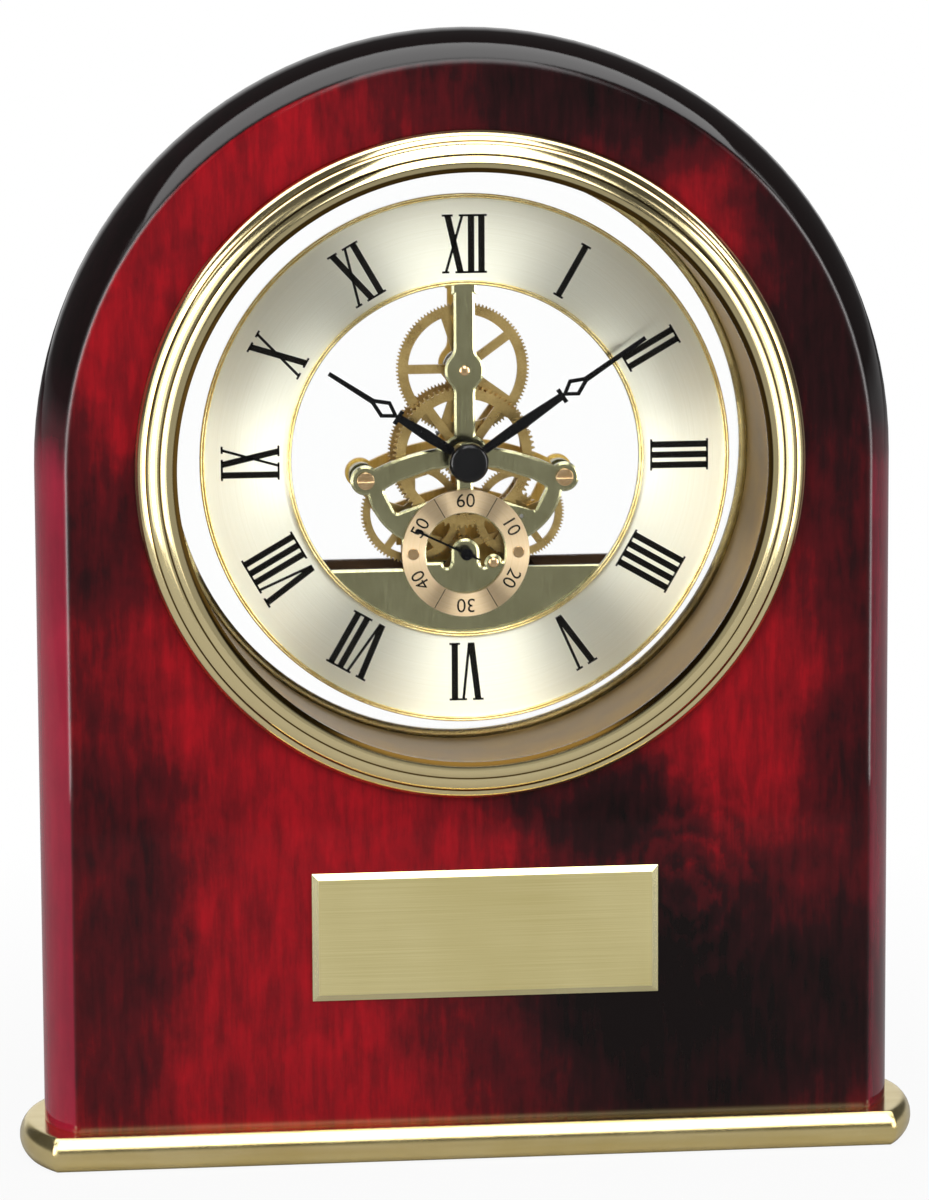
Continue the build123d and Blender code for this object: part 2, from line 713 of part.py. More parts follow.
save(arbor(inter_at, train_arbor_r, pivot_r, shaft_front, shaft_back), "intermediate_arbor")
save(spoked_wheel(inter_at, inter_teeth, rotor_m, inter_aim, train_arbor_r, rim_width, train_hub_r,
                  spoke_width, train_spoke_angle, layers[2], layers[2] + wheel_thick), "intermediate_wheel")
inter_m, inter_pinion_aim, seconds_aim = mesh(inter_at, seconds_at, inter_pinion_teeth, seconds_teeth)
save(gear(inter_at, inter_pinion_teeth, inter_m, inter_pinion_aim, train_arbor_r,
          layers[3] - pinion_over, layers[3] + wheel_thick + pinion_over), "intermediate_pinion")

seconds_hand_back = plate_front - seconds_dial_thick - rivet_head - seconds_hand_gap
seconds_hand_front = seconds_hand_back - seconds_hand_thick
seconds_boss_front = seconds_hand_back - seconds_boss_height
seconds_arbor = rod(seconds_at, train_arbor_r, seconds_hand_front, shaft_back)
seconds_arbor += rod(seconds_at, pivot_r, shaft_back, shaft_back + pivot_depth)
save(seconds_arbor, "seconds_arbor")
save(spoked_wheel(seconds_at, seconds_teeth, inter_m, seconds_aim, train_arbor_r, rim_width, train_hub_r,
                  spoke_width, train_spoke_angle, layers[3], layers[3] + wheel_thick), "seconds_wheel")
seconds_m, seconds_pinion_aim, third_aim = mesh(seconds_at, third_at, seconds_pinion_teeth, third_teeth)
save(gear(seconds_at, seconds_pinion_teeth, seconds_m, seconds_pinion_aim, train_arbor_r, *pinion_span),
     "seconds_pinion")

save(arbor(third_at, train_arbor_r, pivot_r, shaft_front, shaft_back), "third_arbor")
save(spoked_wheel(third_at, third_teeth, seconds_m, third_aim, train_arbor_r, rim_width, train_hub_r,
                  spoke_width, train_spoke_angle, layers[2], layers[2] + wheel_thick), "third_wheel")
third_m, third_pinion_aim, centre_aim = mesh(third_at, centre_at, third_pinion_teeth, centre_teeth)
save(gear(third_at, third_pinion_teeth, third_m, third_pinion_aim, train_arbor_r,
          layers[4] - pinion_over, layers[4] + wheel_thick + pinion_over), "third_pinion")

centre_front = layers[4]
centre_back = layers[4] + wheel_thick
save(spoked_wheel(centre_at, centre_teeth, third_m, centre_aim, centre_arbor_r + running_clearance,
                  wide_rim, wide_hub_r, wide_spoke, centre_spoke_angle, centre_front, centre_back),
     "centre_wheel")

# Centre arbor with its collars, the clutch spring and the cannon pinion
hour_hand_back = chapter_front - trim_thick - hour_hand_out
hour_hand_front = hour_hand_back - hand_thick
minute_hand_back = hour_hand_front - hand_gap
minute_hand_front = minute_hand_back - hand_thick
cap_front = minute_hand_front - cap_height
knob_front = keeper_back + knob_gap
knob_back = knob_front + knob_length
spring_front = centre_back + end_play
spring_back = spring_front + spring_thick
centre_arbor = rod(centre_at, centre_arbor_r, minute_hand_front - arbor_into_cap, knob_back)
centre_arbor += rod(centre_at, collar_r, centre_front - end_play - collar_thick, centre_front - end_play)
centre_arbor += rod(centre_at, collar_r, spring_back, spring_back + collar_thick)
save(centre_arbor, "centre_arbor")
save(slab(Circle(spring_r) - Circle(centre_arbor_r), spring_front, spring_back), "clutch_spring")
cannon_m, cannon_aim, motion_aim = mesh(centre_at, motion_at, cannon_teeth, motion_teeth)
save(gear(centre_at, cannon_teeth, cannon_m, cannon_aim, centre_arbor_r,
          layers[1] - pinion_over, layers[1] + wheel_thick + pinion_over), "cannon_pinion")

# Motion work
motion_bore = motion_arbor_r + running_clearance
motion_hub_r = motion_bore + pipe_wall
motion_hub_back = layers[1] + wheel_thick + pinion_over
motion_arbor = arbor(motion_at, motion_arbor_r, pivot_r, shaft_front, shaft_back)
motion_flange_front = motion_hub_back + end_play
motion_arbor += rod(motion_at, motion_flange_r, motion_flange_front, motion_flange_front + motion_flange_thick)
save(motion_arbor, "motion_arbor")
save(spoked_wheel(motion_at, motion_teeth, cannon_m, motion_aim, motion_hub_r, wide_rim,
                  train_hub_r + pipe_wall, wide_spoke, motion_spoke_angle, layers[1],
                  layers[1] + wheel_thick), "motion_wheel")
hour_m, motion_pinion_aim, hour_aim = mesh(motion_at, centre_at, motion_pinion_teeth, hour_teeth)
motion_pinion_back = layers[0] + wheel_thick + pinion_over
motion_pinion = gear(motion_at, motion_pinion_teeth, hour_m, motion_pinion_aim, motion_bore,
                     layers[0] - pinion_over, motion_pinion_back)
motion_pinion += slab(Pos(*motion_at) * (Circle(motion_hub_r) - Circle(motion_bore)),
                      motion_pinion_back, motion_hub_back)
save(motion_pinion, "motion_pinion")
bush_front = plate_front - end_play - bush_flange_thick
hour_bush = slab(Circle(bush_outer) - Circle(bush_inner), bush_front, plate_inner + end_play)
hour_bush += slab(Circle(bush_outer + bush_flange) - Circle(bush_inner), bush_front, plate_front - end_play)
save(hour_bush, "hour_bush")
hour_back = layers[0] + wheel_thick
hour_pipe = slab(Circle(pipe_outer) - Circle(pipe_inner), hour_hand_front, hour_back)
save(hour_pipe, "hour_pipe")
save(spoked_wheel(centre_at, hour_teeth, hour_m, hour_aim, pipe_outer, wide_rim, wide_hub_r, wide_spoke,
                  centre_spoke_angle, layers[0], hour_back), "hour_wheel")


# Hands
def hand_face(boss_r, hole_r, bar_r, kite_end_r, tip_r):
    """Hand pointing at twelve: blade, cross bar, open kite and point."""
    mid_r = bar_r * blade_mid_share
    blade = make_face(Polyline(
        (-blade_root_width / 2, 0), (-blade_mid_width / 2, mid_r), (-blade_root_width / 2, bar_r),
        (blade_root_width / 2, bar_r), (blade_mid_width / 2, mid_r), (blade_root_width / 2, 0), close=True))
    wide_r = bar_r + (kite_end_r - bar_r) * kite_wide_share
    half = kite_width / 2
    kite = make_face(Polyline((0, bar_r), (half, wide_r), (0, kite_end_r), (-half, wide_r), close=True))
    low_r = wide_r - (wide_r - bar_r) * kite_open_share
    high_r = wide_r + (kite_end_r - wide_r) * kite_open_share
    inner_half = half * kite_open_share
    kite -= make_face(Polyline((0, low_r), (inner_half, wide_r), (0, high_r), (-inner_half, wide_r),
                               close=True))
    point = make_face(Polyline(
        (-tip_root_width / 2, high_r), (-tip_end_width / 2, tip_r), (tip_end_width / 2, tip_r),
        (tip_root_width / 2, high_r), close=True))
    face = Circle(boss_r) + blade + kite + point
    face += Pos(0, bar_r) * Rectangle(bar_length, bar_thick)
    return face - Circle(hole_r)


hour_face = hand_face(hour_boss_r, pipe_outer, hour_bar_r, hour_kite_end_r, hour_tip_r)
minute_face = hand_face(minute_boss_r, centre_arbor_r, minute_bar_r, minute_kite_end_r, minute_tip_r)
save(slab(Rot(0, 0, -hour_hand_angle) * hour_face, hour_hand_front, hour_hand_back), "hour_hand")
save(slab(Rot(0, 0, -minute_hand_angle) * minute_face, minute_hand_front, minute_hand_back), "minute_hand")
cap_bore_front = minute_hand_front - arbor_into_cap
hand_cap = rod(centre_at, cap_r, cap_front, minute_hand_front)
hand_cap = fillet(hand_cap.edges().sort_by(Axis.Y)[0], cap_edge_r)
hand_cap -= rod(centre_at, cap_dish_r, cap_front - overrun, cap_front + cap_dish_depth)
hand_cap -= rod(centre_at, centre_arbor_r, cap_bore_front, minute_hand_front + overrun)
save(hand_cap, "hand_cap")
needle = Pos(0, -seconds_tail_r) * Rectangle(
    seconds_hand_width, seconds_tail_r + seconds_tip_r, align=(Align.CENTER, Align.MIN))
needle += Pos(0, seconds_tip_r) * Circle(seconds_dot_r)
needle_place = seconds_place * Rot(0, 0, -seconds_hand_angle)
seconds_hand = slab(needle_place * needle, seconds_hand_front, seconds_hand_back)
seconds_hand += rod(seconds_at, seconds_boss_r, seconds_boss_front, seconds_hand_back)
seconds_hand -= rod(seconds_at, train_arbor_r, seconds_hand_front, seconds_hand_back + overrun)
save(seconds_hand, "seconds_hand")

# Setting knob with finger grooves
setting_knob = rod(centre_at, knob_r, knob_front, knob_back)
for k in range(knob_groove_count):
    a = radians(k * 360 / knob_groove_count)
    groove_at = (knob_r * cos(a), knob_r * sin(a))
    setting_knob -= rod(groove_at, knob_groove_r, knob_front - overrun, knob_back + overrun)
setting_knob -= rod(centre_at, centre_arbor_r, knob_front - overrun, knob_back + overrun)
save(setting_knob, "setting_knob")
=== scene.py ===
import bmesh
import bpy
from math import cos, pi, radians, sin
from mathutils import Matrix, Vector


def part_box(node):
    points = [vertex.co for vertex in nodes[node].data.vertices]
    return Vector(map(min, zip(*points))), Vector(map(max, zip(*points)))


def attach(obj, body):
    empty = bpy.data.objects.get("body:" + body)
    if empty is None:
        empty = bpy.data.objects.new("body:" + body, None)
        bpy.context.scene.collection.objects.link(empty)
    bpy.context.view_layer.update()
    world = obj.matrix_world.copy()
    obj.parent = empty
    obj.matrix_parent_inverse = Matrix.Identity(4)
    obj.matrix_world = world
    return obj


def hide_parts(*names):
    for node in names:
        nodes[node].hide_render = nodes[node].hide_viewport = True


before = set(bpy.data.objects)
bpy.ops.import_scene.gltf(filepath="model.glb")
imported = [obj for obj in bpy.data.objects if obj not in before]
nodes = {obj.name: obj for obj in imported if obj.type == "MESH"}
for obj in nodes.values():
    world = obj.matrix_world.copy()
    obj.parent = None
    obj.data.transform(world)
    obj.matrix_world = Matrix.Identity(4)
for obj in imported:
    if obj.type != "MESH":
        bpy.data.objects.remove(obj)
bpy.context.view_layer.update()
scene = bpy.context.scene
scene.view_settings.view_transform = "Standard"

# Sizes are in millimetres: x and z about the dial axis, y back from the middle of the case
MM = 0.001
AXIS = 145.7
UPRIGHT = Matrix.Rotation(pi / 2, 4, "X")

# Kinds of shader node in use
COORDS = "ShaderNodeTexCoord"
MAPPING = "ShaderNodeMapping"
NOISE = "ShaderNodeTexNoise"
RANGE = "ShaderNodeMapRange"
MATH = "ShaderNodeMath"
VECTOR = "ShaderNodeVectorMath"
RAMP = "ShaderNodeValToRGB"
MIX = "ShaderNodeMix"
BUMP = "ShaderNodeBump"
BEVEL = "ShaderNodeBevel"
SPLIT = "ShaderNodeSeparateXYZ"
JOIN = "ShaderNodeCombineXYZ"
SURFACE = "ShaderNodeNewGeometry"

# Most of a noise lies between these values
NOISE_SPAN = {"From Min": 0.3, "From Max": 0.7}


def linear(code):
    """An sRGB hex colour as linear values."""
    values = [int(code[k:k + 2], 16) / 255 for k in (1, 3, 5)]
    return tuple(v / 12.92 if v <= 0.04045 else ((v + 0.055) / 1.055) ** 2.4 for v in values) + (1.0,)


def add(tree, kind, inputs=(), out=0, stops=(), **settings):
    """A node with settings, values, links and colour stops; gives one output, or the node if it has none."""
    node = tree.nodes.new(kind)
    for key, value in settings.items():
        setattr(node, key, value)
    for socket, value in dict(inputs).items():
        if isinstance(value, bpy.types.NodeSocket):
            tree.links.new(value, node.inputs[socket])
        else:
            node.inputs[socket].default_value = value
    for count, (place, code) in enumerate(stops):
        band = node.color_ramp.elements
        stop = band[count] if count < len(band) else band.new(1.0)
        stop.position = place
        stop.color = linear(code)
    return node.outputs[out] if len(node.outputs) else node


def start(name):
    """An empty material, its tree, and its coordinates in millimetres about the dial axis."""
    made = bpy.data.materials.new(name)
    made.use_nodes = True
    tree = made.node_tree
    tree.nodes.clear()
    place = add(tree, COORDS, out="Object")
    mm = add(tree, MAPPING, {"Vector": place, "Scale": (1000, 1000, 1000), "Location": (0, 0, -AXIS)})
    return made, tree, mm


def close(tree, surface):
    """The principled shader with its sockets, wired to the material's output."""
    shader = add(tree, "ShaderNodeBsdfPrincipled", surface)
    add(tree, "ShaderNodeOutputMaterial", {"Surface": shader})


# Case: dyed rosewood veneer under thick polished lacquer, deep red with near black heartwood, mirror gloss.
# Heartwood figure: middle x and z, half width, half height, depth of stain
HEARTWOOD = (
    (-76, -92, 21, 66, 0.46), (-80, -14, 17, 28, 0.48), (38, 80, 62, 26, 0.70), (76, 34, 26, 66, 0.66),
    (38, -114, 44, 40, 0.84), (27, -74, 26, 12, 0.70), (72, -120, 36, 32, 0.70), (82, -62, 16, 50, 0.48),
    (0, 86, 44, 16, 0.54), (58, -94, 24, 16, 0.54), (-30, 90, 40, 14, 0.25), (80, -22, 16, 30, 0.44),
)
WANDER_WIDTH = 33.3
WANDER_GAIN = 45.0
GRAIN_WIDTH, GRAIN_LENGTH = 2.0, 14.3
CURL_WIDTH, CURL_LENGTH = 6.25, 10.4
BOARD_WIDTH, BOARD_LENGTH = 14.3, 286.0
KNOT_MIDDLE = (45, 0, -91)
KNOT_HEIGHT_SHARE = 0.75
KNOT_CORE, KNOT_END = 5.0, 24.0
KNOT_RING_GAP = 4.83
# Painted shade on the case's edge, in mm: near black upwards round the arch, and darker towards the right
# side
ARCH_SHADE_LOW, ARCH_SHADE_HIGH = -5.0, 25.0
EDGE_SHADE_LEFT, EDGE_SHADE_RIGHT = -60.0, 60.0
LACQUER_WAVE = 20.0
LACQUER_WAVE_DEPTH = 0.15
LACQUER_ROUND = 2.0
FACE_VENEER = ((0.0, "#940F19"), (0.16, "#840E16"), (0.34, "#640D13"), (0.52, "#400C10"), (0.74, "#200B0D"),
               (0.96, "#0D0808"))
# Colours for the case's edge: the purple red at the light end is painted sheen, and the near black end
# carries the painted shade
EDGE_SHEEN_AND_SHADE = ((0.0, "#94152F"), (0.30, "#691023"), (0.46, "#380C13"), (0.70, "#180B0D"), (0.90, "#0D0808"))


def heartwood_stain(tree, mm):
    """Soft dark patches in the veneer, whose outlines wander by up to about 9 mm."""
    drift = add(tree, NOISE, {"Vector": mm, "Scale": 1 / WANDER_WIDTH, "Detail": 5.0, "Roughness": 0.62},
                out="Color")
    drift = add(tree, VECTOR, {0: drift, 1: (0.5, 0.5, 0.5)}, operation="SUBTRACT")
    drift = add(tree, VECTOR, {0: drift, 3: WANDER_GAIN}, operation="SCALE")
    figure = add(tree, VECTOR, {0: mm, 1: drift}, operation="ADD")
    stain = None
    for x, z, half_x, half_z, depth in HEARTWOOD:
        off = add(tree, VECTOR, {0: figure, 1: (x, 0, z)}, operation="SUBTRACT")
        off = add(tree, VECTOR, {0: off, 1: (1 / half_x, 0, 1 / half_z)}, operation="MULTIPLY")
        far = add(tree, VECTOR, {0: off}, out="Value", operation="LENGTH")
        patch = add(tree, RANGE, {"Value": far, "From Min": 0.1, "From Max": 1.6, "To Min": depth,
                                  "To Max": 0.0}, interpolation_type="SMOOTHSTEP")
        if stain is None:
            stain = patch
        else:
            stain = add(tree, MATH, {0: stain, 1: patch, 2: 0.2}, operation="SMOOTH_MAX")
    return stain


def veneer_tone(tree, mm):
    """How dark the veneer is at each place, from its grain, curl, boards, heartwood and knot."""
    along = add(tree, MAPPING, {"Vector": mm, "Scale": (1.0, 1.0, GRAIN_WIDTH / GRAIN_LENGTH)})
    grain = add(tree, NOISE, {"Vector": along, "Scale": 1 / GRAIN_WIDTH, "Detail": 4.0, "Roughness": 0.6,
                              "Distortion": 0.2})
    tone = add(tree, RANGE, {"Value": grain, **NOISE_SPAN, "To Min": 0.09, "To Max": 0.28})
    across = add(tree, MAPPING, {"Vector": mm, "Scale": (1.0, 1.0, CURL_WIDTH / CURL_LENGTH),
                                 "Rotation": (0, radians(12), 0)})
    curl = add(tree, NOISE, {"Vector": across, "Scale": 1 / CURL_WIDTH, "Detail": 6.0, "Roughness": 0.62,
                             "Distortion": 0.3})
    lift = add(tree, RANGE, {"Value": curl, **NOISE_SPAN, "To Min": -0.08, "To Max": 0.08})
    tone = add(tree, MATH, {0: tone, 1: lift}, operation="ADD")
    upright = add(tree, MAPPING, {"Vector": mm, "Scale": (1.0, 1.0, BOARD_WIDTH / BOARD_LENGTH)})
    board = add(tree, NOISE, {"Vector": upright, "Scale": 1 / BOARD_WIDTH, "Detail": 2.0})
    lift = add(tree, RANGE, {"Value": board, **NOISE_SPAN, "To Min": -0.05, "To Max": 0.06})
    tone = add(tree, MATH, {0: tone, 1: lift}, operation="ADD")
    tone = add(tree, MATH, {0: tone, 1: heartwood_stain(tree, mm)}, operation="ADD")
    # Knot low on the right: wavy rings that fade outwards
    off = add(tree, VECTOR, {0: mm, 1: KNOT_MIDDLE}, operation="SUBTRACT")
    off = add(tree, VECTOR, {0: off, 1: (1.0, 0, KNOT_HEIGHT_SHARE)}, operation="MULTIPLY")
    far = add(tree, VECTOR, {0: off}, out="Value", operation="LENGTH")
    phase = add(tree, RANGE, {"Value": curl, "From Min": 0.2, "From Max": 0.8, "To Min": -6.0, "To Max": 6.0})
    phase = add(tree, MATH, {0: far, 1: 2 * pi / KNOT_RING_GAP, 2: phase}, operation="MULTIPLY_ADD")
    rings = add(tree, MATH, {0: phase}, operation="SINE")
    fade = add(tree, RANGE, {"Value": far, "From Min": KNOT_CORE, "From Max": KNOT_END, "To Min": 0.09,
                             "To Max": 0.0})
    return add(tree, MATH, {0: rings, 1: fade, 2: tone}, operation="MULTIPLY_ADD")


def edge_sheen_and_shade(tree, mm, tone):
    """The swelling edge's colour: a plainer red, its purple cast painted sheen, darkened as painted shade
    round the arch and to the right.
    """
    height = add(tree, SPLIT, {0: mm}, out="Z")
    # Painted shade: the edge darkens upwards round the arch
    arch_shade = add(tree, RANGE, {"Value": height, "From Min": ARCH_SHADE_LOW, "From Max": ARCH_SHADE_HIGH,
                             "To Min": 0.0, "To Max": 0.75}, interpolation_type="SMOOTHSTEP")
    # Painted shade: the edge darkens towards the right side
    sideways = add(tree, SPLIT, {0: mm}, out="X")
    right = add(tree, RANGE, {"Value": sideways, "From Min": EDGE_SHADE_LEFT, "From Max": EDGE_SHADE_RIGHT,
                              "To Min": 0.0, "To Max": 0.12})
    edge_shade_tone = add(tree, MATH, {0: tone, 1: 0.4, 2: arch_shade}, operation="MULTIPLY_ADD")
    edge_shade_tone = add(tree, MATH, {0: edge_shade_tone, 1: right}, operation="ADD")
    return add(tree, RAMP, {"Fac": edge_shade_tone}, stops=EDGE_SHEEN_AND_SHADE)


def lacquered_rosewood():
    """The case's wood: veneer on the face, and on the edge a purple red with painted sheen and painted shade,
    under a clear mirror coat.
    """
    made, tree, mm = start("lacquered_rosewood")
    tone = veneer_tone(tree, mm)
    face = add(tree, RAMP, {"Fac": tone}, stops=FACE_VENEER)
    facing = add(tree, SPLIT, {0: add(tree, SURFACE, out="Normal")}, out="Y")
    facing = add(tree, MATH, {0: facing}, operation="ABSOLUTE")
    edge = add(tree, RANGE, {"Value": facing, "From Min": 0.98, "From Max": 0.80})
    # The side faces take the edge colour, with its painted sheen and painted shade
    colour = add(tree, MIX, {0: edge, 6: face, 7: edge_sheen_and_shade(tree, mm, tone)}, out=2, data_type="RGBA")
    # The lacquer is slightly wavy, rounds off the sharp front edge and shines more there than on the face
    wave = add(tree, NOISE, {"Vector": mm, "Scale": 1 / LACQUER_WAVE, "Detail": 2.0})
    eased = add(tree, BEVEL, {"Radius": LACQUER_ROUND * MM}, samples=8)
    skin = add(tree, BUMP, {"Height": wave, "Strength": 0.05, "Distance": LACQUER_WAVE_DEPTH * MM,
                            "Normal": eased})
    rounding = add(tree, MATH, {0: add(tree, SPLIT, {0: eased}, out="Y")}, operation="ABSOLUTE")
    lacquer = add(tree, RANGE, {"Value": rounding, "From Min": 0.99, "From Max": 0.93, "To Min": 0.24,
                                "To Max": 0.8})
    close(tree, {"Base Color": colour, "Roughness": 0.4, "Specular IOR Level": 0.0, "Coat Weight": lacquer,
                 "Coat Roughness": 0.04, "Coat IOR": 1.5, "Coat Normal": skin})
    return made


# Bezel: three crowned ridges step in and up from the rim to the lip, and a tube runs back through the case
RIM_R, OUTER_GROOVE_R, INNER_GROOVE_R, RIDGE_END_R = 69.4, 67.3, 64.53, 61.92
RIM_Y, OUTER_GROOVE_Y, INNER_GROOVE_Y, RIDGE_END_Y = -15.0, -17.0, -18.4, -19.0
LIP_R, TUBE_R, PANE_SEAT_R, TUBE_OUTER_R = 61.0, 61.5, 62.3, 63.0
LIP_Y, LENS_Y, CASE_FRONT, PANE_Y, CASE_BACK = -18.7, -18.0, -14.0, 11.4, 14.0
RIDGE_CROWN = 0.32
RIDGE_STEPS = 12
BEZEL_AROUND = 360
# Its tones by radius: cream on the ridges, and painted shade as a dark line in each groove and dark bands at
# the lip and the rim
TONE_START_R, TONE_END_R = 60.0, 70.0
LIP_SHADE_R, LIP_BRIGHT_R = 61.9, 62.1
RIM_BRIGHT_R, RIM_SHADE_R = 69.25, 69.4
GROOVE_LINE, GROOVE_FADE = 0.10, 0.25
CREAM, LIP_PAINTED_SHADE, GROOVE_PAINTED_SHADE, RIM_PAINTED_SHADE = "#EDDCA8", "#4A3716", "#5A431B", "#6B5225"
# The wall inside the tube, by radius and depth: satin and rougher, and a darker brown as painted shade
WALL_R, WALL_Y = 61.8, -17.9
WALL_CLOUD = 12.5


def turned_brass():
    """The bezel's brass, turned, polished and lacquered: a cream mirror with painted shade in its grooves and
    at lip and rim, and a rougher satin wall in the tube, its darker brown painted shade.
    """
    made, tree, mm = start("turned_polished_brass")
    flat = add(tree, VECTOR, {0: mm, 1: (1, 0, 1)}, operation="MULTIPLY")
    far = add(tree, VECTOR, {0: flat}, out="Value", operation="LENGTH")
    # Painted shade: a dark band at the lip, a dark line in each groove and a dark band at the rim
    tones_and_shade = [(LIP_SHADE_R, LIP_PAINTED_SHADE), (LIP_BRIGHT_R, CREAM)]
    for groove in (INNER_GROOVE_R, OUTER_GROOVE_R):
        tones_and_shade += [(groove - GROOVE_FADE, CREAM), (groove - GROOVE_LINE, GROOVE_PAINTED_SHADE),
                  (groove + GROOVE_LINE, GROOVE_PAINTED_SHADE), (groove + GROOVE_FADE, CREAM)]
    tones_and_shade += [(RIM_BRIGHT_R, CREAM), (RIM_SHADE_R, RIM_PAINTED_SHADE)]
    stops = [((r - TONE_START_R) / (TONE_END_R - TONE_START_R), code) for r, code in tones_and_shade]
    across = add(tree, RANGE, {"Value": far, "From Min": TONE_START_R, "From Max": TONE_END_R})
    ridge_tone_and_shade = add(tree, RAMP, {"Fac": across}, stops=stops)
    depth = add(tree, SPLIT, {0: mm}, out="Y")
    inside = add(tree, MATH, {0: far, 1: WALL_R}, operation="LESS_THAN")
    behind = add(tree, MATH, {0: depth, 1: WALL_Y}, operation="GREATER_THAN")
    wall = add(tree, MATH, {0: inside, 1: behind}, operation="MULTIPLY")
    cloud = add(tree, NOISE, {"Vector": mm, "Scale": 1 / WALL_CLOUD, "Detail": 3.0})
    # Painted shade: the tube's wall is a darker brown than the cream ridges
    wall_tone_and_shade = add(tree, RAMP, {"Fac": cloud}, stops=((0.3, "#9C7B3A"), (0.7, "#B8944C")))
    colour = add(tree, MIX, {0: wall, 6: ridge_tone_and_shade, 7: wall_tone_and_shade}, out=2, data_type="RGBA")
    polish = add(tree, RANGE, {"Value": cloud, **NOISE_SPAN, "To Min": 0.10, "To Max": 0.15})
    rough = add(tree, MATH, {0: wall, 1: 0.24, 2: polish}, operation="MULTIPLY_ADD")
    close(tree, {"Base Color": colour, "Metallic": 1.0, "Roughness": rough})
    return made


def bare_metal(name, bright, dark, roughness, grain_mm, depth_mm=0.01, cloud_mm=10.0, bevel_mm=0.0):
    """A bare metal: two near tones in clouds and in grain lines, whose widths along X, Y and Z are given."""
    made, tree, mm = start(name)
    cloud = add(tree, NOISE, {"Vector": mm, "Scale": 1 / cloud_mm, "Detail": 4.0, "Roughness": 0.6})
    drawn = add(tree, MAPPING, {"Vector": mm, "Scale": tuple(1 / width for width in grain_mm)})
    lines = add(tree, NOISE, {"Vector": drawn, "Scale": 1.0, "Detail": 3.0, "Roughness": 0.6})
    tone = add(tree, MATH, {0: cloud, 1: lines}, operation="ADD")
    tone = add(tree, RANGE, {"Value": tone, "From Min": 0.75, "From Max": 1.25})
    colour = add(tree, RAMP, {"Fac": tone}, stops=((0.0, dark), (1.0, bright)))
    rough = add(tree, RANGE, {"Value": cloud, **NOISE_SPAN, "To Min": roughness * 0.85,
                              "To Max": roughness * 1.15})
    relief = {"Height": lines, "Strength": 0.15, "Distance": depth_mm * MM}
    if bevel_mm:
        relief["Normal"] = add(tree, BEVEL, {"Radius": bevel_mm * MM}, samples=8)
    skin = add(tree, BUMP, relief)
    close(tree, {"Base Color": colour, "Metallic": 1.0, "Roughness": rough, "Normal": skin})
    return made


# Brush lines on the dials lie about 0.15 mm apart, and are drawn twice as coarse so that they show
DIAL_LINES_PER_MM = 3.0
BRUSH_DEPTH = 0.02


def circle_brushed(name, bright, dark, middle_z):
    """A dial brushed in circles about its own middle: fans of light that open from there."""
    made, tree, mm = start(name)
    flat = add(tree, VECTOR, {0: mm, 1: (0, 0, middle_z)}, operation="SUBTRACT")
    flat = add(tree, VECTOR, {0: flat, 1: (1, 0, 1)}, operation="MULTIPLY")
    far = add(tree, VECTOR, {0: flat}, out="Value", operation="LENGTH")
    ring = add(tree, JOIN, {"X": far})
    lines = add(tree, NOISE, {"Vector": ring, "Scale": DIAL_LINES_PER_MM, "Detail": 3.0, "Roughness": 0.7})
    colour = add(tree, RAMP, {"Fac": lines}, stops=((0.25, dark), (0.75, bright)))
    outward = add(tree, VECTOR, {0: flat}, operation="NORMALIZE")
    skin = add(tree, BUMP, {"Height": lines, "Strength": 0.05, "Distance": BRUSH_DEPTH * MM})
    close(tree, {"Base Color": colour, "Metallic": 1.0, "Roughness": 0.45, "Anisotropic": 1.0,
                 "Tangent": outward, "Normal": skin})
    return made


# Brush lines on the engraving plate: 40 mm long and about 0.2 mm apart
SHEET_LINE_LENGTH, SHEET_LINE_GAP = 40.0, 0.2
SHEET_CLOUD = 33.3


def engraving_sheet():
    """Brass sheet brushed along its length on the face, with mirror cut bevels round it."""
    made, tree, mm = start("brushed_brass_sheet")
    drawn = add(tree, MAPPING, {"Vector": mm, "Scale": (1 / SHEET_LINE_LENGTH, 1.0, 1 / SHEET_LINE_GAP)})
    lines = add(tree, NOISE, {"Vector": drawn, "Scale": 1.0, "Detail": 3.0, "Roughness": 0.6})
    cloud = add(tree, NOISE, {"Vector": mm, "Scale": 1 / SHEET_CLOUD, "Detail": 2.0})
    facing = add(tree, SPLIT, {0: add(tree, SURFACE, out="Normal")}, out="Y")
    face = add(tree, MATH, {0: facing, 1: -0.99}, operation="LESS_THAN")
    tone = add(tree, MATH, {0: lines, 1: cloud}, operation="ADD")
    tone = add(tree, RANGE, {"Value": tone, "From Min": 0.7, "From Max": 1.3})
    brushed = add(tree, RAMP, {"Fac": tone}, stops=((0.0, "#D4C689"), (1.0, "#E9DDA5")))
    cut = add(tree, RAMP, {"Fac": cloud}, stops=((0.3, "#E4D9A4"), (0.7, "#EDE4B6")))
    colour = add(tree, MIX, {0: face, 6: cut, 7: brushed}, out=2, data_type="RGBA")
    rough = add(tree, RANGE, {"Value": face, "To Min": 0.12, "To Max": 0.40})
    depth = add(tree, RANGE, {"Value": face, "To Min": 0.0, "To Max": 0.2})
    skin = add(tree, BUMP, {"Height": lines, "Strength": depth, "Distance": BRUSH_DEPTH * MM})
    close(tree, {"Base Color": colour, "Metallic": 1.0, "Roughness": rough, "Normal": skin})
    return made


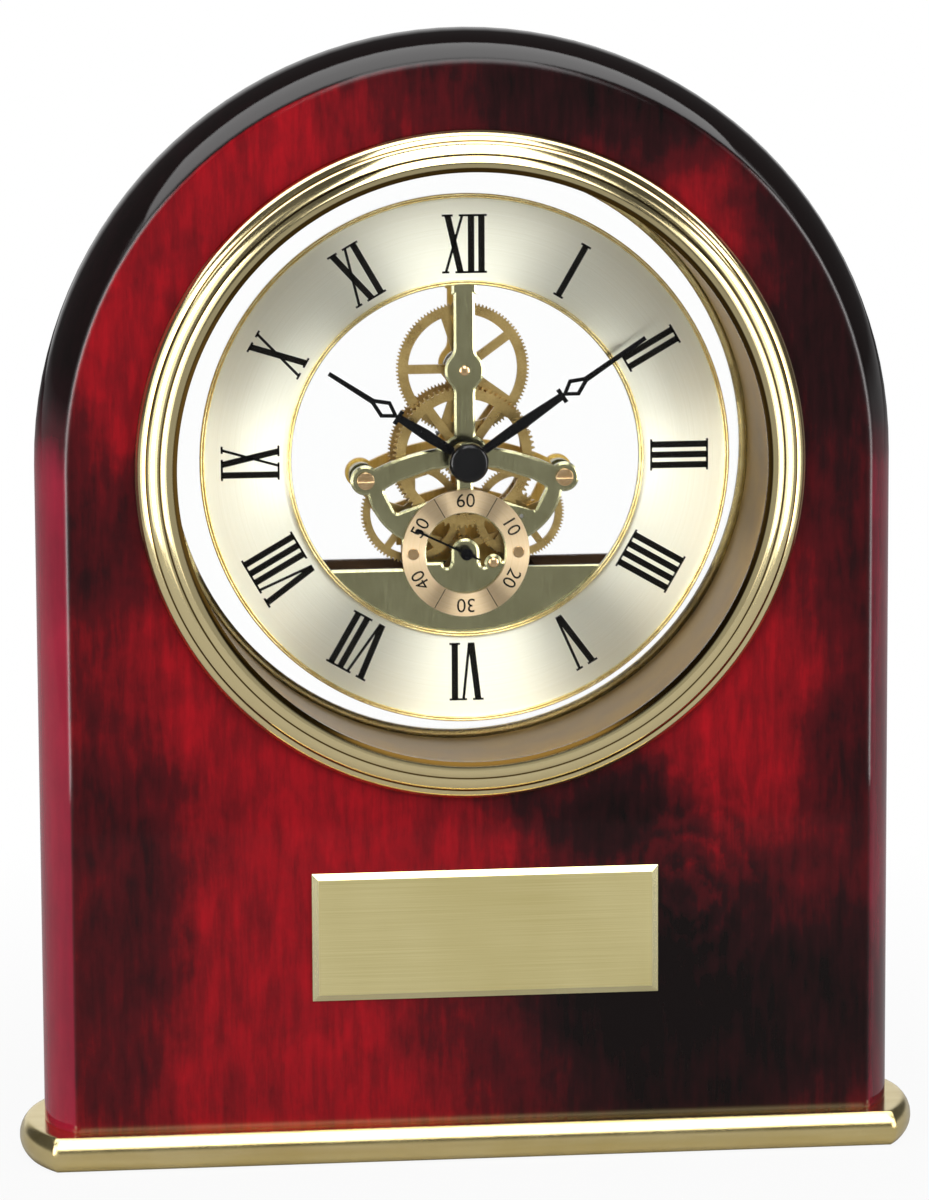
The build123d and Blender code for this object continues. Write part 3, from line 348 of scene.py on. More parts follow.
def coated(name, bright, dark, roughness, skin_mm, depth_mm, strength=0.2, cloud_mm=6.0, gloss=0.5):
    """A painted, moulded or felted surface: two near tones in clouds and a fine skin of a given size."""
    made, tree, mm = start(name)
    cloud = add(tree, NOISE, {"Vector": mm, "Scale": 1 / cloud_mm, "Detail": 4.0, "Roughness": 0.6})
    skin = add(tree, NOISE, {"Vector": mm, "Scale": 1 / skin_mm, "Detail": 2.0, "Roughness": 0.6})
    colour = add(tree, RAMP, {"Fac": cloud}, stops=((0.3, dark), (0.7, bright)))
    rough = add(tree, RANGE, {"Value": skin, **NOISE_SPAN, "To Min": roughness * 0.85,
                              "To Max": roughness * 1.15})
    relief = add(tree, BUMP, {"Height": skin, "Strength": strength, "Distance": depth_mm * MM})
    close(tree, {"Base Color": colour, "Roughness": rough, "Specular IOR Level": gloss, "Normal": relief})
    return made


TINT_WIDTH = 100.0


def float_glass():
    """Thin float glass: almost nothing to see but a faint cool tint and a mirror glint.
    A sheet's two faces undo each other's bend, so its index is set low and a coat gives the glint."""
    made, tree, mm = start("float_glass")
    tint = add(tree, NOISE, {"Vector": mm, "Scale": 1 / TINT_WIDTH, "Detail": 1.0})
    colour = add(tree, RAMP, {"Fac": tint}, stops=((0.0, "#F2F7F5"), (1.0, "#FAFCFB")))
    close(tree, {"Base Color": colour, "Roughness": 0.0, "IOR": 1.06, "Transmission Weight": 1.0,
                 "Alpha": 0.08, "Coat Weight": 1.0, "Coat Roughness": 0.0})
    return made


# Height of the seconds dial's middle
SECONDS_Z = -19.8

rosewood = lacquered_rosewood()
bezel_brass = turned_brass()
# Base and keeping ring: rolled brass, buffed and lacquered, a warm mirror with soft streaks and edges
buffed_brass = bare_metal("buffed_brass", "#F2DFA4", "#E8D290", roughness=0.18, grain_mm=(30, 4, 2),
                          depth_mm=0.02, cloud_mm=14.0, bevel_mm=1.8)
engraving_brass = engraving_sheet()
# Plates: pale greenish brass, lapped flat, with cut edges that catch the light
lapped_brass = bare_metal("lapped_brass_plate", "#ADAA86", "#9A9772", roughness=0.18, grain_mm=(0.4, 1, 5),
                          depth_mm=0.006)
# Back plate: the same sheet in a brighter yellow, painted light that lifts it out of the shade behind the
# front plate
yellow_plate_painted_light = bare_metal("yellow_brass_painted_light", "#F4D078", "#E2B95A", roughness=0.4, grain_mm=(0.4, 1, 5),
                          depth_mm=0.006)
# Wheels and pinions: hard brass as cut, a little dulled
cut_brass = bare_metal("cut_brass", "#D0B476", "#B6985C", roughness=0.30, grain_mm=(0.3, 1, 0.3),
                       cloud_mm=5.0)
# Seconds dial: copper-rich brass, brushed in circles, a warm pink with fans of light
rose_dial = circle_brushed("brushed_rose_brass", "#E6D1B0", "#D4B88D", SECONDS_Z)
# Screws, rivets and pivot caps: polished rose brass, pink and bright with soft edges
rose_brass = bare_metal("polished_rose_brass", "#DDBF94", "#C9A676", roughness=0.2, grain_mm=(0.5, 0.5, 0.5),
                        depth_mm=0.004, cloud_mm=3.0, bevel_mm=0.2)
# Raised lines round the dial: bright gold plating
gold_plating = bare_metal("gold_plating", "#EBDDAA", "#DDC98A", roughness=0.16, grain_mm=(2, 2, 2),
                          depth_mm=0.004, cloud_mm=8.0)
# Arbors and springs: ground steel, grey with a soft sheen
ground_steel = bare_metal("ground_steel", "#C2C1BC", "#A5A49E", roughness=0.26, grain_mm=(0.15, 3, 0.15),
                          depth_mm=0.006, cloud_mm=4.0)
# Coil: enamelled copper wire, red and glossy
copper_wire = bare_metal("enamelled_copper_wire", "#B8652F", "#94491E", roughness=0.26, grain_mm=(0.3, 2, 2),
                         depth_mm=0.004, cloud_mm=3.0)
# Housing: dark bronze lacquer on smooth moulded ABS
bronze_abs = coated("bronze_lacquered_abs", "#3E2E20", "#302318", roughness=0.6, skin_mm=1.0, depth_mm=0.006,
                    strength=0.1, cloud_mm=12.0, gloss=0.0)
# Hands: steel dipped in gloss black lacquer
black_lacquer = coated("black_lacquered_steel", "#0B0B0C", "#070708", roughness=0.14, skin_mm=2.5,
                       depth_mm=0.002, strength=0.04, gloss=0.12)
# Hand cap: the same black, moulded and brightly polished
gloss_cap = coated("gloss_black_cap", "#0B0B0C", "#070708", roughness=0.12, skin_mm=2.5, depth_mm=0.002,
                   strength=0.04, gloss=0.3)
# Figures: black printing ink, slightly matt
printing_ink = coated("black_printing_ink", "#100F0C", "#0A0907", roughness=0.6, skin_mm=0.4, depth_mm=0.004,
                      gloss=0.04)
# Knob and cover: black ABS with a spark-eroded matt skin
black_abs = coated("black_moulded_abs", "#1D1D1E", "#151516", roughness=0.5, skin_mm=0.35, depth_mm=0.03,
                   strength=0.35)
# Dry cell: shrunk plastic jacket over the can, dark and fairly glossy
cell_jacket = coated("shrunk_cell_jacket", "#2A2C30", "#202226", roughness=0.3, skin_mm=1.6, depth_mm=0.01)
# Board: green glass-fibre resin, fairly glossy
fibre_board = coated("fibre_board", "#1F5A35", "#174828", roughness=0.32, skin_mm=0.8, depth_mm=0.01)
# Felt: green wool, a matt nap in small clumps
wool_felt = coated("wool_felt", "#27442F", "#1B3423", roughness=0.95, skin_mm=0.5, depth_mm=0.25,
                   strength=0.8, cloud_mm=1.0)
# Chapter ring: champagne plated brass, brushed in circles, nearly white where a fan of light falls
dial_plating = circle_brushed("champagne_plated_dial", "#FCFCEE", "#F0EFDA", 0)
glass = float_glass()

dressed = {
    rosewood: ("case_body",),
    bezel_brass: ("bezel_ring",),
    buffed_brass: ("base_plate", "rear_retaining_ring"),
    engraving_brass: ("engraving_plate",),
    lapped_brass: ("front_plate", "plate_pillars"),
    yellow_plate_painted_light: ("back_plate",),
    rose_dial: ("seconds_dial",),
    rose_brass: ("plate_screws", "pane_screws", "seconds_dial_rivets"),
    dial_plating: ("chapter_ring",),
    gold_plating: ("outer_trim_ring", "inner_trim_ring"),
    glass: ("front_lens", "rear_pane"),
    cut_brass: ("seconds_wheel", "seconds_pinion", "intermediate_wheel", "intermediate_pinion",
                "rotor_pinion", "third_wheel", "third_pinion", "centre_wheel", "cannon_pinion",
                "motion_wheel", "motion_pinion", "hour_bush", "hour_wheel", "hour_pipe"),
    ground_steel: ("base_screws", "battery_contacts", "stator", "stator_posts", "seconds_arbor",
                   "intermediate_arbor", "rotor_arbor", "rotor_magnet", "third_arbor", "centre_arbor",
                   "clutch_spring", "motion_arbor"),
    black_lacquer: ("hour_hand", "minute_hand", "seconds_hand"),
    gloss_cap: ("hand_cap",),
    bronze_abs: ("movement_housing",),
    black_abs: ("battery_cover", "setting_knob"),
    cell_jacket: ("battery",),
    copper_wire: ("motor_coil",),
    fibre_board: ("circuit_board",),
    wool_felt: ("base_felt",),
}
for finish, names in dressed.items():
    for name in names:
        nodes[name].data.materials.clear()
        nodes[name].data.materials.append(finish)


def put(name, mesh, finish, body):
    """A finished piece: its mesh in place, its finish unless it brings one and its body."""
    piece = bpy.data.objects.new(name, mesh)
    scene.collection.objects.link(piece)
    if not mesh.materials:
        mesh.materials.append(finish)
    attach(piece, body)
    return piece


# Printed numerals: thin shapes on the chapter ring
HOURS = ("I", "II", "III", "IIII", "V", "VI", "VII", "VIII", "IX", "X", "XI", "XII")
CHAPTER_FACE = -2.6
INK_THICK = 0.03
NUMERAL_FOOT = 38.7
NUMERAL_HEIGHT = 12.2
STEM = 1.34
HAIRLINE = 0.58
SERIF = 0.44
SERIF_REACH = 0.46
LETTER_WIDTH = {"I": STEM, "V": 4.1, "X": 4.1}
LETTER_GAP = 0.82
V_FOOT_SHARE = 0.52
V_FOOT_STEM_SHARE = 0.3


def printed(name, polygons, y_mm):
    """Ink shapes from polygons, with their front just proud of the surface that carries them."""
    mesh = bpy.data.meshes.new(name)
    work = bmesh.new()
    for polygon in polygons:
        front = [work.verts.new((x * MM, (y_mm - INK_THICK) * MM, (AXIS + z) * MM)) for x, z in polygon]
        back = [work.verts.new((x * MM, y_mm * MM, (AXIS + z) * MM)) for x, z in polygon]
        work.faces.new(front)
        work.faces.new(back[::-1])
        for k in range(len(polygon)):
            n = (k + 1) % len(polygon)
            work.faces.new((front[n], front[k], back[k], back[n]))
    bmesh.ops.recalc_face_normals(work, faces=work.faces)
    work.to_mesh(mesh)
    work.free()
    return put(name, mesh, printing_ink, "case")


def stroke(low_x, high_x, low, high, width):
    """A stroke from foot to head, its width measured along the line of writing."""
    half = width / 2
    return [(low_x - half, low), (low_x + half, low), (high_x + half, high), (high_x - half, high)]


def serif(x, width, low):
    """A thin cross stroke at a stroke's end."""
    half = width / 2 + SERIF_REACH
    return [(x - half, low), (x + half, low), (x + half, low + SERIF), (x - half, low + SERIF)]


def letter(sign, x):
    """Polygons of one letter from its left edge, foot at zero."""
    high = NUMERAL_HEIGHT
    top = high - SERIF
    right = x + LETTER_WIDTH[sign]
    thick, thin = x + STEM / 2, right - HAIRLINE / 2
    if sign == "I":
        return [stroke(thick, thick, 0, high, STEM), serif(thick, STEM, top), serif(thick, STEM, 0)]
    heads = [serif(thick, STEM, top), serif(thin, HAIRLINE, top)]
    if sign == "V":
        foot = x + LETTER_WIDTH[sign] * V_FOOT_SHARE
        return heads + [stroke(foot, thick, 0, high, STEM),
                        stroke(foot + STEM * V_FOOT_STEM_SHARE, thin, 0, high, HAIRLINE)]
    low_thick, low_thin = right - STEM / 2, x + HAIRLINE / 2
    return heads + [stroke(low_thick, thick, 0, high, STEM), stroke(low_thin, thin, 0, high, HAIRLINE),
                    serif(low_thick, STEM, 0), serif(low_thin, HAIRLINE, 0)]


def numeral(text, hour):
    """Polygons of an hour numeral with its head outward."""
    width = sum(LETTER_WIDTH[sign] for sign in text) + LETTER_GAP * (len(text) - 1)
    x = -width / 2
    turn = -radians(360 / len(HOURS) * hour)
    placed = []
    for sign in text:
        for polygon in letter(sign, x):
            lifted = [(px, NUMERAL_FOOT + pz) for px, pz in polygon]
            placed.append([(px * cos(turn) - pz * sin(turn), px * sin(turn) + pz * cos(turn))
                           for px, pz in lifted])
        x += LETTER_WIDTH[sign] + LETTER_GAP
    return placed


for count, text in enumerate(HOURS, 1):
    printed("numeral_%02d" % count, numeral(text, count), CHAPTER_FACE)

# Seconds dial: printed figures on a flat ring
SECONDS_FACE = -2.6
SECONDS_OUTER = 13.35
SECONDS_INNER = 8.55
FIGURE_RADIUS = 10.9
FIGURE_SIZE = 4.1
SECONDS_INK = Matrix.Translation((0, (SECONDS_FACE - INK_THICK / 2) * MM, (AXIS + SECONDS_Z) * MM))


def seconds_figure(label):
    """One printed figure of the seconds dial, with its head outward."""
    curve = bpy.data.curves.new("seconds_" + label, "FONT")
    curve.body = label
    curve.align_x = "CENTER"
    curve.align_y = "CENTER"
    curve.size = FIGURE_SIZE * MM
    curve.extrude = INK_THICK / 2 * MM
    holder = bpy.data.objects.new("seconds_" + label, curve)
    scene.collection.objects.link(holder)
    mesh = bpy.data.meshes.new_from_object(holder.evaluated_get(bpy.context.evaluated_depsgraph_get()))
    bpy.data.objects.remove(holder)
    around = Matrix.Rotation(radians(360 / 60 * (int(label) % 60)), 4, "Y")
    lift = Matrix.Translation((0, 0, FIGURE_RADIUS * MM))
    mesh.transform(SECONDS_INK @ around @ lift @ UPRIGHT)
    mesh.materials.clear()
    put("seconds_figure_" + label, mesh, printing_ink, "case")


for label in ("60", "10", "20", "30", "40", "50"):
    seconds_figure(label)


# Pieces that Geometry Nodes grow
LENGTH = "NodeSocketFloat"
COUNT = "NodeSocketInt"
CIRCLE = "GeometryNodeCurvePrimitiveCircle"
SWEEP = "GeometryNodeCurveToMesh"
SCATTER = "GeometryNodeInstanceOnPoints"


def new_tree(name, sizes):
    """A Geometry Nodes tree with a named input for each size; gives the tree and its inputs."""
    tree = bpy.data.node_groups.new(name, "GeometryNodeTree")
    tree.interface.new_socket("Geometry", in_out="OUTPUT", socket_type="NodeSocketGeometry")
    for label, kind in sizes:
        tree.interface.new_socket(label, in_out="INPUT", socket_type=kind)
    return tree, tree.nodes.new("NodeGroupInput").outputs


def end_tree(tree, shape, finish):
    """Ends a tree in a real mesh with its finish."""
    real = add(tree, "GeometryNodeRealizeInstances", {0: shape})
    shown = add(tree, "GeometryNodeSetMaterial", {0: real, "Material": finish})
    add(tree, "NodeGroupOutput", {0: shown})


def grown(name, tree, sizes, place, body, smooth=False):
    """Grows a tree with its sizes set, as a plain mesh moved to its place on a body."""
    holder = bpy.data.objects.new(name + "_seed", bpy.data.meshes.new(name + "_seed"))
    modifier = holder.modifiers.new("grow", "NODES")
    modifier.node_group = tree
    for item in tree.interface.items_tree:
        if item.in_out == "INPUT":
            modifier[item.identifier] = sizes[item.name]
    scene.collection.objects.link(holder)
    mesh = bpy.data.meshes.new_from_object(holder.evaluated_get(bpy.context.evaluated_depsgraph_get()))
    bpy.data.objects.remove(holder)
    mesh.transform(place)
    if smooth:
        mesh.shade_smooth()
    else:
        mesh.shade_flat()
    return put(name, mesh, None, body)


# Trim rings: name of the beads, radius of the outer line and of the inner one
TRIM_LINES = (("outer_trim_beads", 55.04, 54.50), ("inner_trim_beads", 37.10, 36.56))
TRIM_THICK = 0.4
BEAD_R = 0.22


def bead_lines():
    """Two round beads side by side on each flat trim ring of the dial."""
    tree, given = new_tree("bead_lines", (("Outer line", LENGTH), ("Inner line", LENGTH), ("Bead", LENGTH)))
    wire = add(tree, CIRCLE, {"Resolution": 8, "Radius": given["Bead"]})
    lines = tree.nodes.new("GeometryNodeJoinGeometry")
    for label in ("Outer line", "Inner line"):
        path = add(tree, CIRCLE, {"Resolution": 240, "Radius": given[label]})
        tree.links.new(add(tree, SWEEP, {"Curve": path, "Profile Curve": wire}), lines.inputs[0])
    end_tree(tree, lines.outputs[0], gold_plating)
    face = Matrix.Translation((0, (CHAPTER_FACE - TRIM_THICK) * MM, AXIS * MM)) @ UPRIGHT
    for name, outer, inner in TRIM_LINES:
        sizes = {"Outer line": outer * MM, "Inner line": inner * MM, "Bead": BEAD_R * MM}
        grown(name, tree, sizes, face, "case", True)


DIVIDER_COUNT = 4
DIVIDER_FIRST, DIVIDER_STEP = radians(30), radians(120)
DIVIDER_WIDTH = 0.16
DIVIDER_MARGIN = 0.1


def seconds_dividers():
    """Four thin printed lines across the seconds dial, on either side of sixty and of thirty."""
    tree, given = new_tree("seconds_dividers", (("Count", COUNT), ("Radius", LENGTH), ("Reach", LENGTH),
                                                ("Width", LENGTH), ("Thickness", LENGTH)))
    points = add(tree, "GeometryNodePoints", {"Count": given["Count"]})
    index = add(tree, "GeometryNodeInputIndex")
    pair = add(tree, MATH, {0: index, 1: 2.0}, operation="MODULO")
    half = add(tree, MATH, {0: add(tree, MATH, {0: index, 1: 2.0}, operation="DIVIDE")}, operation="FLOOR")
    turn = add(tree, MATH, {0: pair, 1: DIVIDER_STEP, 2: DIVIDER_FIRST}, operation="MULTIPLY_ADD")
    turn = add(tree, MATH, {0: half, 1: pi, 2: turn}, operation="MULTIPLY_ADD")
    outward = add(tree, JOIN, {"X": add(tree, MATH, {0: turn}, operation="SINE"),
                               "Y": add(tree, MATH, {0: turn}, operation="COSINE")})
    spot = add(tree, VECTOR, {0: outward, 3: given["Radius"]}, operation="SCALE")
    points = add(tree, "GeometryNodeSetPosition", {"Geometry": points, "Position": spot})
    line = add(tree, "GeometryNodeMeshCube", {"Size": add(tree, JOIN, {
        "X": given["Width"], "Y": given["Reach"], "Z": given["Thickness"]})})
    tilt = add(tree, JOIN, {"Z": add(tree, MATH, {0: turn, 1: -1.0}, operation="MULTIPLY")})
    lines = add(tree, SCATTER, {"Points": points, "Instance": line, "Rotation": tilt})
    end_tree(tree, lines, printing_ink)
    sizes = {"Count": DIVIDER_COUNT, "Radius": (SECONDS_OUTER + SECONDS_INNER) / 2 * MM,
             "Reach": (SECONDS_OUTER - SECONDS_INNER - 2 * DIVIDER_MARGIN) * MM,
             "Width": DIVIDER_WIDTH * MM, "Thickness": INK_THICK * MM}
    grown("seconds_dividers", tree, sizes, SECONDS_INK @ UPRIGHT, "case")


COIL_WIRE_R = 0.11


def coil_winding():
    """Enamelled wire wound side by side over the coil's bobbin."""
    tree, given = new_tree("coil_winding", (("Turns", LENGTH), ("Radius", LENGTH), ("Length", LENGTH),
                                            ("Wire", LENGTH)))
    path = add(tree, "GeometryNodeCurveSpiral", {"Resolution": 16, "Rotations": given["Turns"],
                                                 "Start Radius": given["Radius"],
                                                 "End Radius": given["Radius"], "Height": given["Length"]})
    wire = add(tree, CIRCLE, {"Resolution": 5, "Radius": given["Wire"]})
    winding = add(tree, SWEEP, {"Curve": path, "Profile Curve": wire, "Fill Caps": True})
    end_tree(tree, winding, copper_wire)
    low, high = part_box("motor_coil")
    length = (high[0] - low[0]) / MM - 2 * COIL_WIRE_R
    sizes = {"Turns": float(round(length / (2 * COIL_WIRE_R))), "Wire": COIL_WIRE_R * MM,
             "Length": length * MM, "Radius": (high[2] - low[2]) / 2 - COIL_WIRE_R * MM}
    along = Matrix.Rotation(pi / 2, 4, "Y")
    first = Matrix.Translation((low[0] + COIL_WIRE_R * MM, (low[1] + high[1]) / 2, (low[2] + high[2]) / 2))
    grown("coil_winding", tree, sizes, first @ along, "case", True)


GRIP_COUNT = 5
GRIP_PITCH = 1.5
GRIP_REACH = 16
GRIP_R = 0.45
GRIP_RISE = 4.5


def cover_grips():
    """Grip ribs across the battery cover, for a thumb to slide it off."""
    tree, given = new_tree("cover_grips", (("Count", COUNT), ("Pitch", LENGTH), ("Reach", LENGTH),
                                           ("Radius", LENGTH)))
    step = add(tree, JOIN, {"Y": given["Pitch"]})
    row = add(tree, "GeometryNodeMeshLine", {"Count": given["Count"], "Offset": step}, mode="OFFSET")
    rib = add(tree, "GeometryNodeMeshCylinder", {"Vertices": 8, "Radius": given["Radius"],
                                                 "Depth": given["Reach"]}, out="Mesh")
    ribs = add(tree, SCATTER, {"Points": row, "Instance": rib, "Rotation": (0, pi / 2, 0)})
    end_tree(tree, ribs, black_abs)
    low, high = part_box("battery_cover")
    sizes = {"Count": GRIP_COUNT, "Pitch": GRIP_PITCH * MM, "Reach": GRIP_REACH * MM, "Radius": GRIP_R * MM}
    place = Matrix.Translation((0, high[1], low[2] + GRIP_RISE * MM)) @ UPRIGHT
    grown("cover_grips", tree, sizes, place, "cover", True)


bead_lines()
seconds_dividers()
coil_winding()
cover_grips()


def turned(name, profile, x, y_mm, z, around, finish, body):
    """A round piece from its (radius, depth) profile, at a place about the dial axis."""
    work = bmesh.new()
    rows = []
    for r, depth in profile:
        row = []
        for k in range(around if r else 1):
            a = 2 * pi * k / around
            spot = (x + r * cos(a), y_mm + depth, AXIS + z + r * sin(a))
            row.append(work.verts.new([length * MM for length in spot]))
        rows.append(row)
    for a, b in zip(rows, rows[1:]):
        for k in range(around):
            n = (k + 1) % around
            corners = [a[k % len(a)], a[n % len(a)], b[n % len(b)], b[k % len(b)]]
            work.faces.new(list(dict.fromkeys(corners)))
    bmesh.ops.recalc_face_normals(work, faces=work.faces)
    mesh = bpy.data.meshes.new(name)
    work.to_mesh(mesh)
    work.free()
    mesh.shade_smooth()
    mesh.set_sharp_from_angle(angle=radians(25))
    return put(name, mesh, finish, body)


def bezel_profile():
    """The bezel's outline: from the rim over the ridges to the lip, and back through the tube to the rim."""
    ridges = ((RIM_R, RIM_Y), (OUTER_GROOVE_R, OUTER_GROOVE_Y), (INNER_GROOVE_R, INNER_GROOVE_Y),
              (RIDGE_END_R, RIDGE_END_Y))
    line = [ridges[0]]
    for (r0, y0), (r1, y1) in zip(ridges, ridges[1:]):
        span = ((r1 - r0) ** 2 + (y1 - y0) ** 2) ** 0.5
        out_r, out_y = (y0 - y1) / span, (r1 - r0) / span
        for step in range(1, RIDGE_STEPS + 1):
            t = step / RIDGE_STEPS
            rise = RIDGE_CROWN * 4 * t * (1 - t)
            line.append((r0 + (r1 - r0) * t + out_r * rise, y0 + (y1 - y0) * t + out_y * rise))
    line += [(LIP_R, LIP_Y), (LIP_R, LENS_Y), (TUBE_R, LENS_Y), (TUBE_R, PANE_Y), (PANE_SEAT_R, PANE_Y),
             (PANE_SEAT_R, CASE_BACK), (TUBE_OUTER_R, CASE_BACK), (TUBE_OUTER_R, CASE_FRONT),
             (RIM_R, CASE_FRONT), (RIM_R, RIM_Y)]
    return line


bezel = turned("turned_bezel", bezel_profile(), 0, 0, 0, BEZEL_AROUND, bezel_brass, "case")
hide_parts("bezel_ring")


# Front plate: its front face, the cut along its edges, and its pivots, screw holes and rivets as x and z
PLATE_FACE = -1.8
EDGE_CUT = 0.5
EDGE_CUT_DEPTH = 0.2
MOTION_PIVOT = (0, 18.3)
ROTOR_PIVOT = (5.9, -22.0)
PLATE_HOLES = (MOTION_PIVOT, (-10.6, -12.0), (11.8, -12.4), (10.9, -22.6), (0, SECONDS_Z), (-20.8, -4.3),
               (20.8, -4.3), (-11.0, SECONDS_Z), (11.0, SECONDS_Z), (0, 0))
HOLE_REACH = 2.75
WELD = 0.001
LEVEL_SLACK = 0.01


def bevelled_front_plate():
    """The front plate with its front edges cut back, in place of the square-edged solid."""
    work = bmesh.new()
    work.from_mesh(nodes["front_plate"].data)
    bmesh.ops.remove_doubles(work, verts=work.verts, dist=WELD * MM)
    bmesh.ops.dissolve_limit(work, angle_limit=radians(0.5), verts=work.verts, edges=work.edges)
    rim = [edge for edge in work.edges if len(edge.link_faces) == 2
           and min(face.normal.y for face in edge.link_faces) < -0.99
           and max(face.normal.y for face in edge.link_faces) > -0.5]
    # Round holes keep their square edge
    middles = [Vector((x * MM, PLATE_FACE * MM, (AXIS + z) * MM)) for x, z in PLATE_HOLES]
    reach = HOLE_REACH * MM
    rim = [edge for edge in rim if all((edge.verts[0].co - spot).length > reach
                                       or (edge.verts[1].co - spot).length > reach for spot in middles)]
    bmesh.ops.bevel(work, geom=rim, offset=EDGE_CUT * MM, offset_type="OFFSET", segments=1, profile=0.5,
                    affect="EDGES", clamp_overlap=False)
    # The cut is shallower than it is wide
    for vert in work.verts:
        if abs(vert.co.y - (PLATE_FACE + EDGE_CUT) * MM) < LEVEL_SLACK * MM:
            vert.co.y = (PLATE_FACE + EDGE_CUT_DEPTH) * MM
    bmesh.ops.triangulate(work, faces=work.faces)
    mesh = bpy.data.meshes.new("front_plate_bevelled")
    work.to_mesh(mesh)
    work.free()
    mesh.shade_flat()
    piece = put("front_plate_bevelled", mesh, lapped_brass, "case")
    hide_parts("front_plate")


bevelled_front_plate()

# Rose brass caps over the two pivots that show on the front plate
CAP_PROFILE = ((0, -0.34), (0.5, -0.32), (0.85, -0.24), (1.05, -0.12), (1.1, 0.0), (0, 0.0))
CAP_AROUND = 40
for name, (x, z) in (("motion_pivot_cap", MOTION_PIVOT), ("rotor_pivot_cap", ROTOR_PIVOT)):
    turned(name, CAP_PROFILE, x, PLATE_FACE, z, CAP_AROUND, rose_brass, "case")


def set_camera():
    """Camera fitted to the photograph; its aim is measured up from the floor, its focal length in pixels."""
    yaw, pitch, roll = radians(6.465), radians(9.320), radians(-0.290)
    distance, target = 1252.7, Vector((-0.06, 0, 115.58))
    focal_px, photo_width = 6000, 929
    ahead = Vector((sin(yaw) * cos(pitch), cos(yaw) * cos(pitch), -sin(pitch)))
    level = Vector((cos(yaw), -sin(yaw), 0))
    right = cos(roll) * level + sin(roll) * level.cross(ahead)
    data = bpy.data.cameras.new("photo_camera")
    data.sensor_fit = "HORIZONTAL"
    data.sensor_width = 36
    data.lens = focal_px / photo_width * data.sensor_width
    data.clip_start = 0.05
    data.clip_end = 50
    camera = bpy.data.objects.new("photo_camera", data)
    scene.collection.objects.link(camera)
    facing = Matrix((right, right.cross(ahead), -ahead)).transposed().to_4x4()
    camera.matrix_world = Matrix.Translation((target - distance * ahead) * MM) @ facing
    scene.camera = camera


def set_floor():
    """A table under white paper that keeps the clock's shadow.

    It reaches far back, and ends beside and before the clock, so that the case's edges can mirror lamps
    that hang below its level. Sizes are in metres.
    """
    front, front_half, back, back_half = -0.36, 0.34, 8.0, 5.0
    shadow_start, shadow_end = 0.12, 0.33
    mesh = bpy.data.meshes.new("floor")
    corners = [(-front_half, front, 0), (front_half, front, 0), (back_half, back, 0), (-back_half, back, 0)]
    mesh.from_pydata(corners, [], [(0, 1, 2, 3)])
    floor = bpy.data.objects.new("floor", mesh)
    scene.collection.objects.link(floor)
    made = bpy.data.materials.new("white_paper")
    made.use_nodes = True
    tree = made.node_tree
    tree.nodes.clear()
    # Seen directly it glows white, while the light that it throws back on the clock stays soft
    paper = add(tree, "ShaderNodeBsdfDiffuse", {"Color": linear("#969696")})
    white = add(tree, "ShaderNodeEmission", {"Strength": 1.0})
    rays = tree.nodes.new("ShaderNodeLightPath").outputs
    seen = add(tree, MATH, {0: rays["Is Camera Ray"], 1: rays["Is Transmission Ray"]}, operation="MAXIMUM")
    # The shadow shows near the clock alone, so the table's edges melt into the white behind them
    away = add(tree, VECTOR, {0: add(tree, COORDS, out="Object")}, out="Value", operation="LENGTH")
    glow = add(tree, RANGE, {"Value": away, "From Min": shadow_start, "From Max": shadow_end, "To Min": 0.93,
                             "To Max": 1.0})
    share = add(tree, MATH, {0: seen, 1: glow}, operation="MULTIPLY")
    mixed = add(tree, "ShaderNodeMixShader", {0: share, 1: paper, 2: white})
    add(tree, "ShaderNodeOutputMaterial", {"Surface": mixed})
    mesh.materials.append(made)


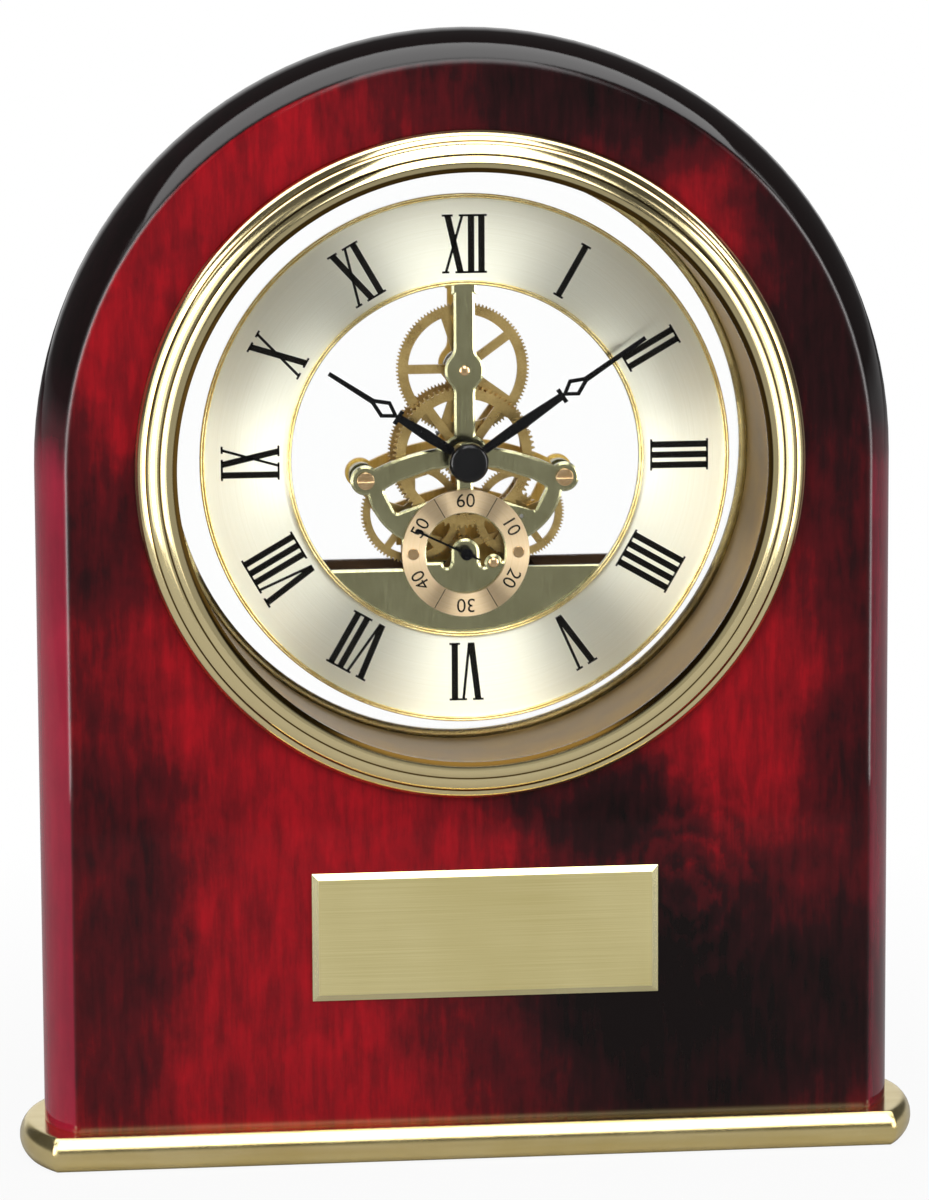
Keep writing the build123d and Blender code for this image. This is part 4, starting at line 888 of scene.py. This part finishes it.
def set_world():
    """White behind the clock for the camera and through glass; for gloss and fill, a dim studio.

    Its floor is pale, and so is the far wall behind the clock, which the base's flat top shows.
    """
    world = bpy.data.worlds.new("studio")
    scene.world = world
    world.use_nodes = True
    tree = world.node_tree
    tree.nodes.clear()
    rays = tree.nodes.new("ShaderNodeLightPath").outputs
    heading = add(tree, COORDS, out="Generated")
    upward = add(tree, SPLIT, {0: heading}, out="Z")
    level = add(tree, RANGE, {"Value": upward, "From Min": -0.02, "From Max": 0.06, "To Min": 0.34,
                              "To Max": 0.08})
    back = add(tree, SPLIT, {0: heading}, out="Y")
    wall = add(tree, RANGE, {"Value": back, "From Min": 0.86, "From Max": 0.96, "To Min": 0.0,
                             "To Max": 0.75})
    level = add(tree, MATH, {0: level, 1: wall}, operation="ADD")
    studio = add(tree, "ShaderNodeBackground", {"Color": linear("#FFFFFF"), "Strength": level})
    white = add(tree, "ShaderNodeBackground", {"Color": linear("#FFFFFF"), "Strength": 1.0})
    seen = add(tree, MATH, {0: rays["Is Camera Ray"], 1: rays["Is Transmission Ray"]}, operation="MAXIMUM")
    mixed = add(tree, "ShaderNodeMixShader", {0: seen, 1: studio, 2: white})
    add(tree, "ShaderNodeOutputWorld", {"Surface": mixed})


# Lamps: name, place, point that it faces, width, height and watts, in metres.
# On each side a bright strip draws the line along the case's edge, before a wide dim box that fills.
CLOCK = (0, 0, 0.12)
BEHIND_CLOCK = (0.05, 1.30, 0.0)
LAMPS = (
    ("left_strip", (-0.70, -0.61, 0.16), CLOCK, 0.30, 1.1, 6.8),
    ("left_box", (-0.72, -0.63, 0.16), CLOCK, 0.95, 1.1, 4.3),
    ("right_strip", (0.78, -0.57, 0.14), CLOCK, 0.28, 1.0, 6.0),
    ("right_box", (0.80, -0.59, 0.14), CLOCK, 0.90, 1.0, 3.7),
    ("front_top_box", (0.10, -0.95, 0.95), CLOCK, 0.62, 1.2, 10.6),
    ("overhead_box", (0.05, 0.25, 1.25), BEHIND_CLOCK, 2.9, 1.2, 34.0),
)


def softbox(name, place, aim, width, height, power):
    """A flat lamp that faces a point."""
    data = bpy.data.lights.new(name, "AREA")
    data.shape = "RECTANGLE"
    data.size = width
    data.size_y = height
    data.energy = power
    lamp = bpy.data.objects.new(name, data)
    scene.collection.objects.link(lamp)
    lamp.location = place
    lamp.rotation_euler = (Vector(aim) - Vector(place)).to_track_quat("-Z", "Y").to_euler()


set_camera()
set_floor()
set_world()
for lamp in LAMPS:
    softbox(*lamp)
